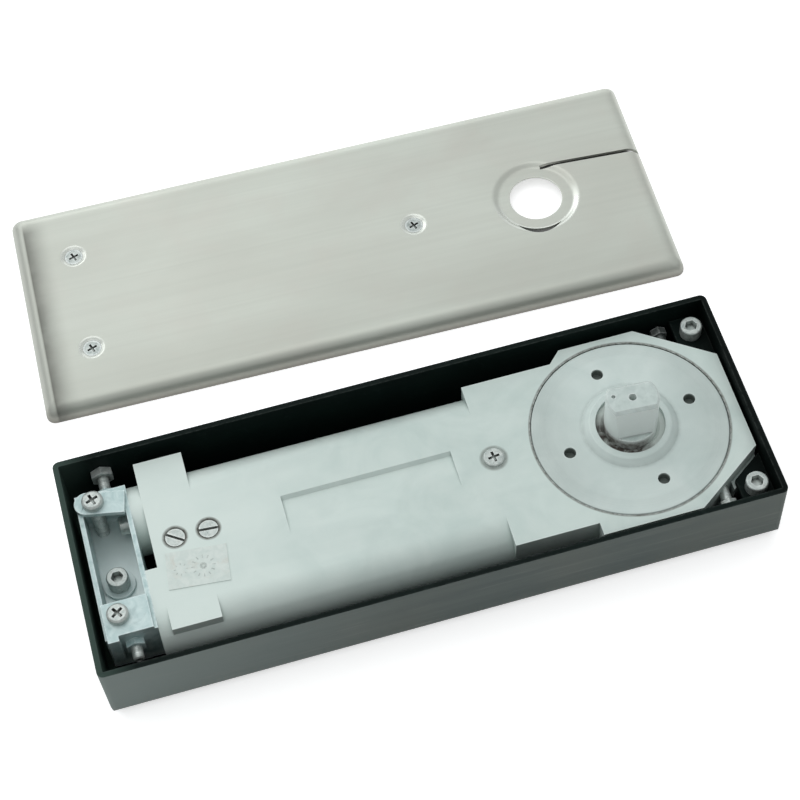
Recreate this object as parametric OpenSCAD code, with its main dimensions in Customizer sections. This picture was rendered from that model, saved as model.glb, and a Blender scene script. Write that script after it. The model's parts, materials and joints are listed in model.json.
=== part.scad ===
// Concealed door closer: a floor spring in its cement box, with its cover plate laid beside it.
// Millimetres. +Z is up, +X runs to the spindle end of the box, +Y runs to the cover plate.
// The origin lies on the spindle axis, on the underside of the box.

/* [Cement box] */
// Length of the box, outside
box_l = 306; // [302:1:330]
// Width of the box, outside
box_w = 108; // [107:1:120]
// Height of the box, outside
box_h = 40; // [38:1:50]
// Thickness of the box sheet
box_wall = 2.5; // [1.5:0.25:2.75]
// Radius of the box's upright corners
box_r = 3; // [2.8:0.1:6]
// Radius of the box's bottom edges
box_foot_r = 7; // [3:0.5:9]
// Distance from the spindle axis to the spindle end of the box
spindle_to_end = 54; // [53.5:0.5:60]

/* [Closer housing] */
// Height of the housing
closer_h = 31.5; // [31:0.5:34]
// Gap between the head's end face and the box wall
head_gap = 1.5; // [1:0.25:2.5]
// Room between each flat side of the head and the box wall
head_room = 3.5; // [3:0.25:4]
// Width of each corner slope of the head, along Y
slope_w = 23; // [21:1:25]
// Distance from the spindle axis to where the head's corner slopes start
head_slope_x = 17.5; // [15:0.5:19]
// Distance from the spindle axis to the back shoulder of the head
head_back_x = 18; // [15:0.5:20]
// Distance from the spindle axis to the front shoulder of the head
head_front_x = 28; // [24:0.5:32]
// Step from the head's flat side in to the neck
neck_step = 6; // [5:0.25:7]
// Distance from the spindle axis to the far end of the neck
neck_x = 66; // [64:0.5:70]
// Distance that the barrels stand proud of the neck
barrel_proud = 0.15; // [0.1:0.05:0.4]
// Wall between a barrel and its bore
barrel_wall = 3.75; // [3:0.25:4]
// Room between the end bracket and the box wall
end_room = 3.5; // [2.5:0.5:8]
// Length of the two separate barrel ends, beyond the web
barrel_nose = 5.5; // [3:0.5:8]
// Distance from the barrels' end to the near side of the cross lug
lug_in = 27.5; // [26:0.5:32]
// Width of the cross lug along X
lug_l = 22; // [16:1:24]
// Room between the lug and the box wall, at the back
lug_room = 5; // [4:0.5:8]
// Reach of the lug past the axis of the front barrel
lug_over = 11.6; // [4:0.2:13]
// Depth of the lug plate
lug_t = 8; // [6:0.5:8]
// Length of the shallow pocket in the top
pocket_l = 78; // [40:1:90]
// Width of the shallow pocket in the top
pocket_w = 18; // [10:1:20]
// Depth of the shallow pocket
pocket_d = 1.6; // [0.8:0.1:2]
// Distance from the neck to the pocket
pocket_start = 14; // [8:1:20]
// Distance of the pocket's back wall from the middle plane
pocket_back = 10; // [6:0.5:12]
// Thickness of the housing floor under the mechanism
floor_t = 6.25; // [5.5:0.25:6.5]
// Width of the ledge under the head's corner slopes
ledge_w = 3.3; // [2.8:0.1:3.4]

/* [Bearing cap] */
// Wall of the head outside the cap
cap_margin = 3.7; // [3.2:0.1:4.5]
// Depth of the cap's screwed rim
cap_t = 7; // [6.5:0.25:7.5]
// Width of the cap's rim outside its raised face
cap_step = 6.8; // [5:0.2:9]
// Height of the raised face above the rim
cap_face_h = 1.2; // [0.6:0.1:1.6]
// Diameter of the round boss on the cap, at its top
cap_boss_d = 35.4; // [34:0.2:38]
// Diameter of the boss at its foot
cap_boss_foot = 43; // [40:0.5:46]
// Height of the boss above the raised face
cap_boss_h = 2.8; // [2:0.1:3]
// Distance from the raised face's edge to the axes of the pin spanner holes
spanner_in = 7.25; // [5:0.25:10]
// Diameter of a pin spanner hole
spanner_d = 5.3; // [4:0.1:6]
// Depth of a pin spanner hole
spanner_deep = 4.5; // [2:0.5:5]
// Turn of the pin spanner holes
spanner_turn = 10.5; // [0:0.5:90]

/* [Spindle] */
// Diameter of the spindle
spindle_d = 23.6; // [22:0.2:24.4]
// Height of the spindle's top above the box's underside
spindle_top = 59.5; // [54:0.5:70]
// Height where the tapered flats start, above the cap's boss
flat_start = 3; // [2:0.5:6]
// Distance across the flats at their foot
flat_foot = 17.6; // [15:0.2:19]
// Distance across the flats at the top
flat_top = 14.2; // [12:0.2:15]
// Width of the chamfer along the top of each flat
flat_edge = 1.4; // [0.6:0.1:1.8]
// Turn of the flats with the door shut
flat_turn = -4; // [-90:1:90]
// Turn of the punch dot that marks the closed side
dot_turn = -18; // [-40:1:40]
// Diameter of the centre hole in the spindle's top
centre_hole_d = 3.4; // [2:0.2:5]
// Depth of the centre hole
centre_hole_deep = 6; // [3:0.5:10]
// Diameter of the spindle's foot in the lower bearing
foot_d = 18; // [16:0.5:19]

/* [Cam and roller] */
// Distance from the spindle axis to the roller axis, door shut
cam_base = 24; // [23.5:0.25:24.5]
// Travel of the roller for each degree of swing
cam_rise = 0.12; // [0.08:0.01:0.12]
// Largest swing of the door from shut
swing = 130; // [90:5:130]
// Thickness of the cam
cam_t = 10; // [8:0.25:10.25]
// Diameter of the cam roller
roller_d = 16; // [14:0.5:16]
// Diameter of the roller's pin
pin_d = 8; // [6:0.5:8]
// Thickness of each carriage cheek
cheek_t = 3; // [2:0.25:3]
// Thickness of the carriage's crosshead along X
crosshead_t = 9; // [7:0.5:9]

/* [Pistons and spring] */
// Diameter of the piston rods
rod_d = 14; // [10:0.5:16]
// Length of the piston heads
piston_l = 20; // [16:1:22]
// Distance of the piston ring's groove from the piston's end
groove_in = 5; // [4:0.25:5.5]
// Width of the piston ring's groove
groove_w = 3; // [2:0.25:3.5]
// Thickness of the spring follower's end
follower_end = 6; // [5:0.5:8]
// Diameter of the closing spring's wire
wire_d = 3.8; // [3:0.2:4]
// Number of turns of the closing spring
spring_turns = 16; // [10:1:18]
// Length of the end plugs
plug_l = 11; // [10:0.5:12]

/* [Valves, filler screw and label] */
// Diameter of the two regulating valves
valve_d = 8.6; // [7:0.2:9]
// Distance from the barrels' end to the sweep valve
sweep_in = 31; // [29:0.5:35]
// Distance from the barrels' end to the latch valve
latch_in = 16; // [14:0.5:19]
// Turn of the sweep valve's slot
sweep_turn = -5; // [-180:5:180]
// Turn of the latch valve's slot
latch_turn = -35; // [-180:5:180]
// Wall between the spring bore and the valve holes
valve_wall = 4.9; // [4:0.1:5.2]
// Depth of the valves below the top
valve_l = 22; // [14:0.5:24]
// Diameter of the filler screw's head
filler_head_d = 9.4; // [8:0.2:11]
// Distance from the spindle axis to the filler screw
filler_x = 62.5; // [58:0.5:64]
// Distance of the filler screw from the middle plane
filler_y = 2.5; // [-3:0.5:4]
// Length of the setting label
label_l = 27; // [20:1:28]
// Width of the setting label
label_w = 18; // [12:1:19]
// Thickness of the setting label
label_t = 0.3; // [0.2:0.1:0.5]

/* [End bracket] */
// Width of the channel along X
channel_w = 23; // [22:0.5:24]
// Thickness of the bracket plate
plate_t = 2.2; // [1.5:0.1:2.5]
// Thickness of the channel's end plates
end_plate_t = 3; // [2:0.25:3.5]
// Reach of the channel past the axis of the back barrel
channel_over_back = 11.1; // [10.1:0.1:12.1]
// Reach of the channel past the axis of the front barrel
channel_over_front = 8.6; // [7.8:0.1:9.6]
// Height of the channel's underside above the box floor
channel_lift = 5; // [4.5:0.5:6]
// Width of the clamping straps
strap_w = 11; // [10:0.5:12]
// Thickness of the clamping straps
strap_t = 2.5; // [2:0.25:3]
// Length of the back strap behind its screw
strap_back = 8.5; // [7:0.5:9]
// Length of the back strap ahead of its screw
strap_ahead = 14; // [12:0.5:15]
// Width of the front strap's bent leg
leg_w = 5; // [4:0.5:8]
// Length of the front strap's bent leg
leg_l = 15.5; // [8:0.5:18]
// Distance of the back levelling screw from the channel's end
level_in_back = 6.5; // [6.5:0.25:8]
// Distance of the front levelling screw from the channel's end
level_in_front = 9; // [7:0.5:11]
// Diameter of the washer under the clamp screw
washer_d = 14.4; // [12:0.2:14.8]
// Distance of the clamp screw from the middle plane
clamp_y = 2; // [0:0.5:4]
// Height of the side screws above the box's underside
side_screw_z = 26.4; // [26.3:0.1:27.5]
// Width across flats of the side screws' nuts
nut_af = 8; // [7:0.5:8.5]

/* [Screws] */
// Diameter of the M6 screws
m6_d = 6; // [5:0.25:6]
// Diameter of the M6 socket heads
m6_head_d = 10; // [9:0.25:10]
// Height of the M6 socket heads
m6_head_h = 6; // [4:0.25:6.5]
// Diameter of the M5 screws
m5_d = 5; // [4:0.25:5]
// Diameter of the M5 socket heads
m5_head_d = 8.5; // [7:0.25:8.5]
// Height of the M5 socket heads
m5_head_h = 5; // [3:0.25:5]
// Distance of the corner screws from the box's end wall
corner_in_x = 7.6; // [6.5:0.1:8]
// Distance of the corner screws from the box's side wall
corner_in_y = 9; // [8.5:0.1:9.2]
// Height of the corner posts above the box's underside
post_top = 26; // [24:0.5:27]
// Diameter of the corner posts
post_d = 11; // [9.5:0.25:11.2]
// Thickness of the corner clamp plates
corner_t = 3; // [2:0.25:4]
// Length of the corner screws in their posts
corner_screw_l = 16; // [10:0.5:18]
// Length of the bracket bolts in the end plugs
bracket_bolt_l = 9; // [6:0.5:9.5]
// Distance from the spindle axis to the head's side screws
head_screw_x = 30; // [29:0.5:31]
// Height of the head's side screws above the barrel axis
head_screw_up = 9; // [7:0.5:9.5]
// Width across flats of the head's side screws
head_screw_af = 7; // [6:0.5:8]

/* [Cover plate] */
// Overhang of the fitted cover past each end of the box
cover_over = 4.5; // [3:0.5:8]
// Overhang of the fitted cover past each side of the box
cover_side = 6.2; // [3:0.1:8]
// Height of the cover plate's turned edge
cover_h = 8; // [7.5:0.5:12]
// Thickness of the cover sheet
cover_t = 1.5; // [1:0.1:2]
// Radius of the cover's corners
cover_r = 4.5; // [3:0.5:7]
// Radius of the cover's rolled edge
cover_roll = 7.5; // [3:0.5:7.5]
// Diameter of the spindle hole in the cover
cover_hole_d = 25.8; // [24.8:0.2:28]
// Diameter of the dish pressed round the spindle hole
dish_d = 43; // [38:0.2:46]
// Depth of the dish
dish_deep = 1.6; // [0.8:0.1:2]
// Width of the slit from the dish to the plate's end
slit_w = 2; // [1:0.25:3]
// Distance of the slit from the spindle hole's axis
slit_y = 17.4; // [16.4:0.2:19]
// Distance from the spindle hole's axis to the start of the slit
slit_start = 7; // [4:0.5:12]
// Turn of the slit against the plate's long edge
slit_turn = -3.4; // [-6:0.2:4]
// Turn of the crescent cut away from the plate's front
crescent_turn = -9; // [-30:1:30]
// Half angle of the crescent cut at the front of the dish
crescent_half = 33; // [20:1:45]
// Width of the crescent cut at its middle
crescent_w = 3; // [1:0.2:4]
// Distance of the two end screws from the plate's far end
cover_screw_x = 27.8; // [20:0.2:34]
// Distance of the two end screws from the plate's middle line
cover_screw_y = 27.8; // [22:0.2:32]
// Diameter of the countersunk heads
csk_d = 9.4; // [8:0.2:10]
// Gap between the box and the cover laid beside it
cover_gap = 46; // [30:1:80]
// Turn of the cover as it lies
cover_turn = -1.4; // [-4:0.1:4]

/* [Fits] */
// Gap between a shaft or piston and its bore, on the radius
run_gap = 0.05; // [0.02:0.01:0.08]
// Gap of parts that are screwed or pressed together, on the radius
fit_gap = 0.05; // [0.02:0.01:0.08]
// Gap between the cam and its roller
cam_gap = 0.05; // [0.03:0.01:0.1]
// Gap between faces that slide past each other
side_gap = 0.3; // [0.2:0.05:0.35]
// Sideways adjustment of the closer in its box, each way
adjust = 1.5; // [0.5:0.25:1.5]

/* [Hidden] */

$fn = 48;
over = 1;
floor_z = box_wall;
top_z = floor_z + closer_h;
barrel_r = closer_h / 2;
bore_r = barrel_r - barrel_wall;
axis_z = floor_z + barrel_r;
box_mid_x = spindle_to_end - box_l / 2;
box_in_x = spindle_to_end - box_wall;
box_in_y = box_w / 2 - box_wall;
corner_x = box_in_x - corner_in_x;
corner_y = box_in_y - corner_in_y;

head_reach = box_in_x - head_gap;
head_w = 2 * (box_in_y - head_room);
head_end_w = head_w - 2 * slope_w;
neck_w = head_w - 2 * neck_step;
barrel_y = neck_w / 2 + barrel_proud - barrel_r;
barrel_end = box_l - box_wall - spindle_to_end - end_room - channel_w;
lug_x = barrel_end - lug_in;
lug_back = box_in_y - lug_room;
lug_front = barrel_y + lug_over;
sweep_x = barrel_end - sweep_in;
latch_x = barrel_end - latch_in;
valve_y = barrel_y - bore_r - valve_wall - valve_d / 2;
channel_back = barrel_y + channel_over_back;
channel_front = barrel_y + channel_over_front;
level_back_y = channel_back - level_in_back;
level_front_y = channel_front - level_in_front;

cav_z0 = floor_z + floor_t;
cav_z1 = top_z - cap_t;
cap_r = head_w / 2 - cap_margin;
cap_face_r = cap_r - cap_step;
spanner_r = cap_face_r - spanner_in;
cap_seat_r = cap_r + fit_gap + 0.05;
chamber_r = cap_r - 4.3;
face_z = top_z + cap_face_h;
boss_z = face_z + cap_boss_h;

spindle_r = spindle_d / 2;
seat_r = spindle_r + 2;
seat_flats = spindle_d + 0.4;
needle_t = 3;
upper_r = spindle_r + needle_t;
seal_r = upper_r + 0.6;
seal_h = 4.6;
seal_sunk = 2.2;
foot_r = foot_d / 2;
lower_r = foot_r + needle_t;
lower_z0 = floor_z + 1.7;
cam_z0 = axis_z - cam_t / 2;
cam_z1 = axis_z + cam_t / 2;
lower_z1 = cam_z0 - 1.2;

roller_r = roller_d / 2;
roller_x = -cam_base;
carry_z0 = cam_z0 - side_gap - cheek_t;
carry_z1 = cam_z1 + side_gap + cheek_t;
travel = cam_rise * swing;
crosshead_x = -(cam_base + roller_r + 7);
crosshead_end = crosshead_x - crosshead_t;
crosshead_y = barrel_y + rod_d / 2 + 0.6;
neck_in_x = -(neck_x - 2);
rod_end = crosshead_end - 22;
piston_end = rod_end - piston_l;
plug_r = bore_r + 1.2;
ball_d = 6;
ball_seat = 9;
oil_way_r = 1.5;
plug_x = -(barrel_end - plug_l);
spring_r = bore_r - wire_d / 2 - 0.8;

nose_x = -(barrel_end - barrel_nose);
channel_x = -(barrel_end + channel_w);
channel_z = floor_z + channel_lift;
level_x = -(barrel_end + 15.2);
clamp_x = -(barrel_end + 13.2);
side_x = -(barrel_end + 9.2);
side_front_x = -(barrel_end + 11.2);
level_head_d = 9.6;
level_head_h = 3.2;
hex_af = 9.4;
hex_h = 3.6;
nut_h = 3;

slope_run = [head_slope_x - head_reach, (head_w - head_end_w) / 2];
slope_n = [slope_run.y, -slope_run.x] / norm(slope_run);
slope_off = slope_n * [head_reach, head_end_w / 2];
ledge_x = head_screw_x + head_screw_af / 2 + 2;
cover_l = box_l + 2 * cover_over;
cover_w = box_w + 2 * cover_side;
cover_hole_x = cover_l - spindle_to_end - cover_over;

// Moves a shape to the middle of the box
module at_box() {
    translate([box_mid_x, 0, 0]) children();
}

// Both sides of the middle plane
module both_sides() {
    children();
    mirror([0, 1, 0]) children();
}

// Turns a flat outline so that its x runs along Y and its y runs up, extruded along +X
module along_x(len) {
    rotate([90, 0, 90]) linear_extrude(len) children();
}

// A rod along +X from a point
module rod_x(x, y, z, len, r) {
    translate([x, y, z]) rotate([0, 90, 0]) cylinder(h = len, r = r);
}

// A rod along +Y from a point
module rod_y(x, y, z, len, r) {
    translate([x, y, z]) rotate([-90, 0, 0]) cylinder(h = len, r = r);
}

// Rectangle with round corners, about its middle
module round_rect(l, w, r) {
    square([l - 2 * r, w], center = true);
    square([l, w - 2 * r], center = true);
    for (sx = [-1, 1], sy = [-1, 1])
        translate([sx * (l / 2 - r), sy * (w / 2 - r)]) circle(r);
}

// Side outline of a pressed pan: flat foot and rounded bottom edges
module pan_side(w, h, r) {
    translate([-w / 2 + r, 0]) square([w - 2 * r, h]);
    translate([-w / 2, r]) square([w, h - r]);
    for (s = [-1, 1]) translate([s * (w / 2 - r), r]) circle(r);
}

// Solid block with round upright corners and round bottom edges
module pan(l, w, h, r, foot) {
    intersection() {
        linear_extrude(h) round_rect(l, w, r);
        translate([-l / 2, 0, 0]) along_x(l) pan_side(w, h, foot);
        translate([0, w / 2, 0]) rotate([90, 0, 0]) linear_extrude(w) pan_side(l, h, foot);
    }
}

// Hexagon by its width across flats
module hex(af) {
    circle(d = af / cos(30), $fn = 6);
}

// Ring seal with a round section, about Z
module ring_seal(r, section) {
    rotate_extrude() translate([r, 0]) circle(section, $fn = 24);
}

// Pressed steel box that is set in the floor, with its screw posts
module cement_box() {
    color([0.10, 0.11, 0.11])
    difference() {
        union() {
            difference() {
                at_box() pan(box_l, box_w, box_h, box_r, box_foot_r);
                at_box() translate([0, 0, box_wall])
                    pan(box_l - 2 * box_wall, box_w - 2 * box_wall, box_h,
                        box_r - box_wall, box_foot_r - box_wall);
            }
            both_sides() translate([corner_x, corner_y, box_wall / 2])
                cylinder(h = post_top - box_wall / 2, d = post_d);
            translate([clamp_x, clamp_y, box_wall / 2])
                cylinder(h = channel_z - side_gap - box_wall / 2, d = 13);
        }
        both_sides() translate([corner_x, corner_y, box_wall + 1])
            cylinder(h = post_top, r = m6_d / 2 + fit_gap);
        translate([clamp_x, clamp_y, box_wall])
            cylinder(h = channel_z, r = m6_d / 2 + fit_gap);
    }
}

// Socket head screw standing on z = 0, head upwards, with its shank below
module socket_screw(d, head_d, head_h, len) {
    difference() {
        union() {
            cylinder(h = head_h - 0.5, d = head_d);
            translate([0, 0, head_h - 0.5]) cylinder(h = 0.5, d1 = head_d, d2 = head_d - 1, $fn = 48);
            translate([0, 0, -len]) cylinder(h = len + 0.5, d = d);
        }
        translate([0, 0, head_h - head_h * 0.55]) linear_extrude(head_h) hex(d * 0.83);
    }
}

// The two screws that hold the corner clamps down on their posts
module corner_screws() {
    color([0.80, 0.82, 0.82])
    both_sides() translate([corner_x, corner_y, post_top + corner_t])
        socket_screw(m6_d, m6_head_d, m6_head_h, corner_t + corner_screw_l);
}

// Black plates over the posts, whose inner edge holds the head down by its ledge
module corner_clamps() {
    y_in = box_in_y - side_gap;
    x_end = spindle_to_end - box_wall - side_gap;
    x_in = ledge_x + 1;
    off = slope_off + adjust * slope_n.y + side_gap;
    color([0.12, 0.13, 0.13])
    both_sides() translate([0, 0, post_top]) difference() {
        linear_extrude(corner_t) difference() {
            polygon([
                [x_in, (off - slope_n.x * x_in) / slope_n.y],
                [x_end, (off - slope_n.x * x_end) / slope_n.y],
                [x_end, y_in - box_r],
                [x_end - box_r, y_in],
                [x_in, y_in]
            ]);
            translate([corner_x, corner_y]) circle(m6_d / 2 + 0.2);
        }
    }
}

// Outline of the head and neck, with the corner slopes set out by a ledge
module head_outline(out) {
    ex = head_end_w / 2 + out / slope_n.y;
    sx = head_slope_x + out / slope_n.x;
    polygon([
        [head_reach, -ex], [head_reach, ex], [sx, head_w / 2], [-head_back_x, head_w / 2],
        [-head_back_x - 6, neck_w / 2], [-neck_x, neck_w / 2], [-neck_x, -neck_w / 2],
        [-head_front_x, -neck_w / 2], [-head_front_x, -head_w / 2], [sx, -head_w / 2]
    ]);
}

// Section of the two barrels and the web that joins them
module barrel_section() {
    for (s = [-1, 1]) translate([s * barrel_y, axis_z]) circle(barrel_r, $fn = 96);
    translate([-barrel_y, floor_z]) square([2 * barrel_y, closer_h]);
}

// Section of the separate barrel ends: round at the back, flat topped at the front
module nose_section() {
    for (s = [-1, 1]) translate([s * barrel_y, axis_z]) circle(barrel_r, $fn = 96);
    translate([-barrel_y, axis_z]) square([barrel_y - 7, barrel_r]);
}

// Everything that is hollowed out of the housing
module housing_hollows() {
    // Seat of the bearing cap, cam chamber and neck
    translate([0, 0, cav_z1]) cylinder(h = cap_t + over, r = cap_seat_r, $fn = 96);
    translate([0, 0, cav_z0]) cylinder(h = cav_z1 - cav_z0 + over, r = chamber_r, $fn = 96);
    translate([neck_in_x, -crosshead_y - side_gap, cav_z0])
        cube([-neck_in_x - cam_base, 2 * (crosshead_y + side_gap), cav_z1 - cav_z0]);
    translate([0, 0, lower_z0]) cylinder(h = cav_z0 - lower_z0 + over, r = lower_r + fit_gap);
    // Barrel bores and the seats of their end plugs
    for (s = [-1, 1]) {
        rod_x(-barrel_end - over, s * barrel_y, axis_z, barrel_end + over + neck_in_x + over, bore_r);
        rod_x(-barrel_end - over, s * barrel_y, axis_z, plug_l + over, plug_r + fit_gap);
    }
    // Valve holes with a sloped mouth, filler hole and side screws
    mouth = 0.8;
    for (x = [sweep_x, latch_x])
        translate([-x, valve_y, top_z - valve_l]) rotate(60) {
            cylinder(h = valve_l + over, r = valve_d / 2 + run_gap);
            translate([0, 0, valve_l - mouth])
                cylinder(h = 2 * mouth, d1 = valve_d, d2 = valve_d + 3 * mouth);
        }
    // Oil ways from the damper bore to the valves, and back to the chamber
    for (x = [sweep_x, latch_x])
        rod_y(-x, -barrel_y, top_z - valve_l + oil_way_r + 0.7, barrel_y + valve_y, oil_way_r);
    rod_x(-latch_x, valve_y, axis_z, latch_x + neck_in_x + over, oil_way_r);
    translate([-filler_x, filler_y, cav_z1 - over]) cylinder(h = cap_t + 2 * over, r = m6_d / 2 + fit_gap);
    both_sides() rod_y(head_screw_x, cap_seat_r * 0.8, axis_z + head_screw_up, head_w, m5_d / 2 + fit_gap);
}

// Cast housing: eight-sided head, neck, two barrels and the cross lug at their end
module closer_housing() {
    color([0.80, 0.85, 0.83])
    difference() {
        intersection() {
            union() {
                translate([0, 0, floor_z]) linear_extrude(closer_h) head_outline(0);
                translate([0, 0, floor_z]) linear_extrude(post_top - 0.2 - floor_z) intersection() {
                    head_outline(ledge_w);
                    translate([ledge_x, -box_w / 2]) square([head_reach - ledge_x, box_w]);
                }
                translate([nose_x, 0, 0]) along_x(-nose_x - neck_x + over) barrel_section();
                translate([-barrel_end, 0, 0]) along_x(barrel_nose + over) nose_section();
                translate([-lug_x - lug_l, -lug_front, top_z - lug_t])
                    cube([lug_l, lug_front + lug_back, lug_t]);
            }
            // Rounds the bottom edges, so the housing stands clear of the box's own round edges
            at_box() translate([0, 0, floor_z])
                pan(box_l - 2 * box_wall - 2 * side_gap, 2 * (box_in_y - adjust - side_gap), box_h,
                    box_r, box_foot_r);
        }
        housing_hollows();
        // Pocket that is deepest along its back wall and runs out towards the front
        translate([-neck_x - pocket_start - pocket_l, pocket_back, top_z]) along_x(pocket_l)
            polygon([[-pocket_w, 0], [0, -pocket_d], [1.6, 0], [1.6, over], [-pocket_w, over]]);
    }
}

// Half section of the cap: screwed rim, raised face and round-edged boss
module cap_section() {
    boss_r = cap_boss_d / 2;
    foot_edge = cap_boss_foot / 2;
    face_slope = 2.4;
    rim_slope = 0.6;
    difference() {
        union() {
            translate([upper_r + fit_gap, cav_z1]) square([cap_r - upper_r - fit_gap, cap_t]);
            polygon([
                [seal_r + fit_gap, top_z - 1], [cap_face_r + face_slope, top_z - 1],
                [cap_face_r + face_slope, top_z], [cap_face_r, face_z], [seal_r + fit_gap, face_z]
            ]);
            polygon([
                [seal_r + fit_gap, face_z - 1], [foot_edge, face_z - 1], [foot_edge, face_z],
                [boss_r + 0.9, boss_z - 0.5], [boss_r, boss_z], [seal_r + fit_gap, boss_z]
            ]);
        }
        translate([0, boss_z - seal_h]) square([seal_r + fit_gap, seal_h + over]);
        translate([cap_r - 3.2, cav_z1 - over]) square([3.2 + over, 2 + over]);
        polygon([
            [cap_r - rim_slope, top_z], [cap_r, top_z - rim_slope], [cap_r + over, top_z - rim_slope],
            [cap_r + over, top_z + over], [cap_r - rim_slope, top_z + over]
        ]);
    }
}

// Screwed cap over the cam chamber, turned with a pin spanner
module bearing_cap() {
    color([0.82, 0.87, 0.85])
    difference() {
        rotate_extrude($fn = 96) cap_section();
        for (a = [0:90:270]) rotate(a + spanner_turn)
            translate([spanner_r, 0, face_z - spanner_deep]) cylinder(h = spanner_deep + over, d = spanner_d);
    }
}

// Ring seal under the rim of the cap
module cap_seal() {
    color([0.08, 0.08, 0.08])
    translate([0, 0, cav_z1 + 0.95]) ring_seal(cap_r - 1.7, 0.9);
}

// Needle bush in the cap
module upper_bearing() {
    color([0.70, 0.71, 0.72])
    translate([0, 0, cav_z1]) difference() {
        cylinder(h = boss_z - seal_h - cav_z1 - side_gap, r = upper_r);
        translate([0, 0, -over])
            cylinder(h = cap_t + cap_boss_h + 2 * over + cap_face_h, r = spindle_r + run_gap);
    }
}

// Needle bush in the housing floor
module lower_bearing() {
    color([0.70, 0.71, 0.72])
    translate([0, 0, lower_z0]) difference() {
        cylinder(h = lower_z1 - lower_z0, r = lower_r);
        translate([0, 0, -over]) cylinder(h = lower_z1 - lower_z0 + 2 * over, r = foot_r + run_gap);
    }
}

// Lip seal round the spindle, sunk in the cap's boss
module spindle_seal() {
    color([0.10, 0.10, 0.11])
    translate([0, 0, boss_z - seal_h]) rotate_extrude()
        polygon([
            [spindle_r + run_gap, 0], [seal_r, 0], [seal_r, seal_h - seal_sunk],
            [spindle_r + 1.4, seal_h - seal_sunk], [spindle_r + run_gap, seal_h - seal_sunk - 0.8]
        ]);
}

// Spindle with its cam seat, journals and the two tapered flats that take the door's arm
module spindle() {
    taper = atan((flat_foot - flat_top) / 2 / (spindle_top - boss_z - flat_start));
    round_edge = 0.7 * flat_edge;
    color([0.78, 0.80, 0.79])
    difference() {
        union() {
            translate([0, 0, lower_z0 + side_gap]) cylinder(h = cam_z0 - lower_z0, r = foot_r);
            translate([0, 0, lower_z1 + side_gap / 2])
                cylinder(h = cam_z0 - lower_z1 - side_gap / 2, r = seat_r);
            translate([0, 0, cam_z0 - 0.2]) linear_extrude(cam_t + 0.4) seat_outline(0);
            translate([0, 0, cam_z1]) cylinder(h = spindle_top - round_edge - cam_z1, r = spindle_r);
            translate([0, 0, spindle_top - round_edge])
                cylinder(h = round_edge, r1 = spindle_r, r2 = spindle_r - round_edge, $fn = 48);
        }
        rotate(flat_turn) both_sides()
            translate([-spindle_d, flat_foot / 2, boss_z + flat_start]) rotate([taper, 0, 0])
                cube([2 * spindle_d, spindle_d, spindle_top]);
        rotate(flat_turn) both_sides()
            translate([-spindle_d, flat_top / 2, spindle_top - flat_edge]) rotate([45, 0, 0])
                cube([2 * spindle_d, spindle_d, spindle_d]);
        translate([0, 0, spindle_top - centre_hole_deep])
            cylinder(h = centre_hole_deep + over, d = centre_hole_d);
        rotate(dot_turn) translate([-spindle_r + 3.4, 0, spindle_top - 1]) cylinder(h = 1 + over, d = 1.8);
    }
}

// Round seat with two flats, which carries the cam
module seat_outline(gap) {
    intersection() {
        circle(seat_r + gap);
        square([seat_flats + 2 * gap, 2 * spindle_d], center = true);
    }
}

// Path of the roller's axis round the cam, and the cam's edge beside it
rise_rad = cam_rise * 180 / PI;
function path_r(a) = cam_base + cam_rise * a;
function path_point(a) = path_r(a) * [-cos(a), sin(a)];
function path_step(a) = rise_rad * [-cos(a), sin(a)] + path_r(a) * [sin(a), cos(a)];
function edge_point(a) = let (s = path_step(a), n = [-s.y, s.x] / norm(s))
    path_point(a) - (roller_r + cam_gap) * n;
function flip(p) = [for (i = [len(p) - 1:-1:0]) [p[i].x, -p[i].y]];

// Heart-shaped cam: the notch holds the door shut and the flanks lift the roller evenly
module heart_outline() {
    flank_end = swing + 12;
    dip = atan(rise_rad / cam_base);
    tip = edge_point(flank_end);
    tip_a = atan2(tip.y, tip.x);
    notch = [for (t = [-dip * 2 / 3:dip / 3:dip * 0.9])
        [-cam_base, 0] + (roller_r + cam_gap) * [cos(t), sin(t)]];
    flank = [for (a = [0:4:flank_end]) edge_point(a)];
    nose = [for (i = [1:9]) norm(tip) * [cos(tip_a * (1 - i / 5)), sin(tip_a * (1 - i / 5))]];
    polygon(concat(notch, flank, nose, flip(flank)));
}

module heart_cam() {
    color([0.55, 0.56, 0.57])
    translate([0, 0, cam_z0]) linear_extrude(cam_t) difference() {
        heart_outline();
        seat_outline(fit_gap);
    }
}

// Roller that runs on the cam's edge
module cam_roller() {
    color([0.62, 0.63, 0.64])
    translate([roller_x, 0, cam_z0]) difference() {
        cylinder(h = cam_t, r = roller_r);
        translate([0, 0, -over]) cylinder(h = cam_t + 2 * over, r = pin_d / 2 + run_gap);
    }
}

// Pin of the roller, pressed into both cheeks
module roller_pin() {
    color([0.66, 0.67, 0.68])
    translate([roller_x, 0, carry_z0 + 0.2]) cylinder(h = carry_z1 - carry_z0 - 0.4, r = pin_d / 2);
}

// Carriage: two cheeks round the cam and a crosshead that pushes both pistons
module roller_carriage() {
    color([0.50, 0.52, 0.53])
    difference() {
        union() {
            translate([crosshead_end, -crosshead_y, carry_z0])
                cube([crosshead_t, 2 * crosshead_y, carry_z1 - carry_z0]);
            for (z = [carry_z0, carry_z1 - cheek_t]) translate([0, 0, z]) {
                translate([crosshead_x - over, -roller_r, 0])
                    cube([roller_x - crosshead_x + over, roller_d, cheek_t]);
                translate([roller_x, 0, 0]) cylinder(h = cheek_t, r = roller_r);
            }
        }
        translate([roller_x, 0, carry_z0 - over])
            cylinder(h = carry_z1 - carry_z0 + 2 * over, r = pin_d / 2 + 0.02);
    }
}

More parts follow.
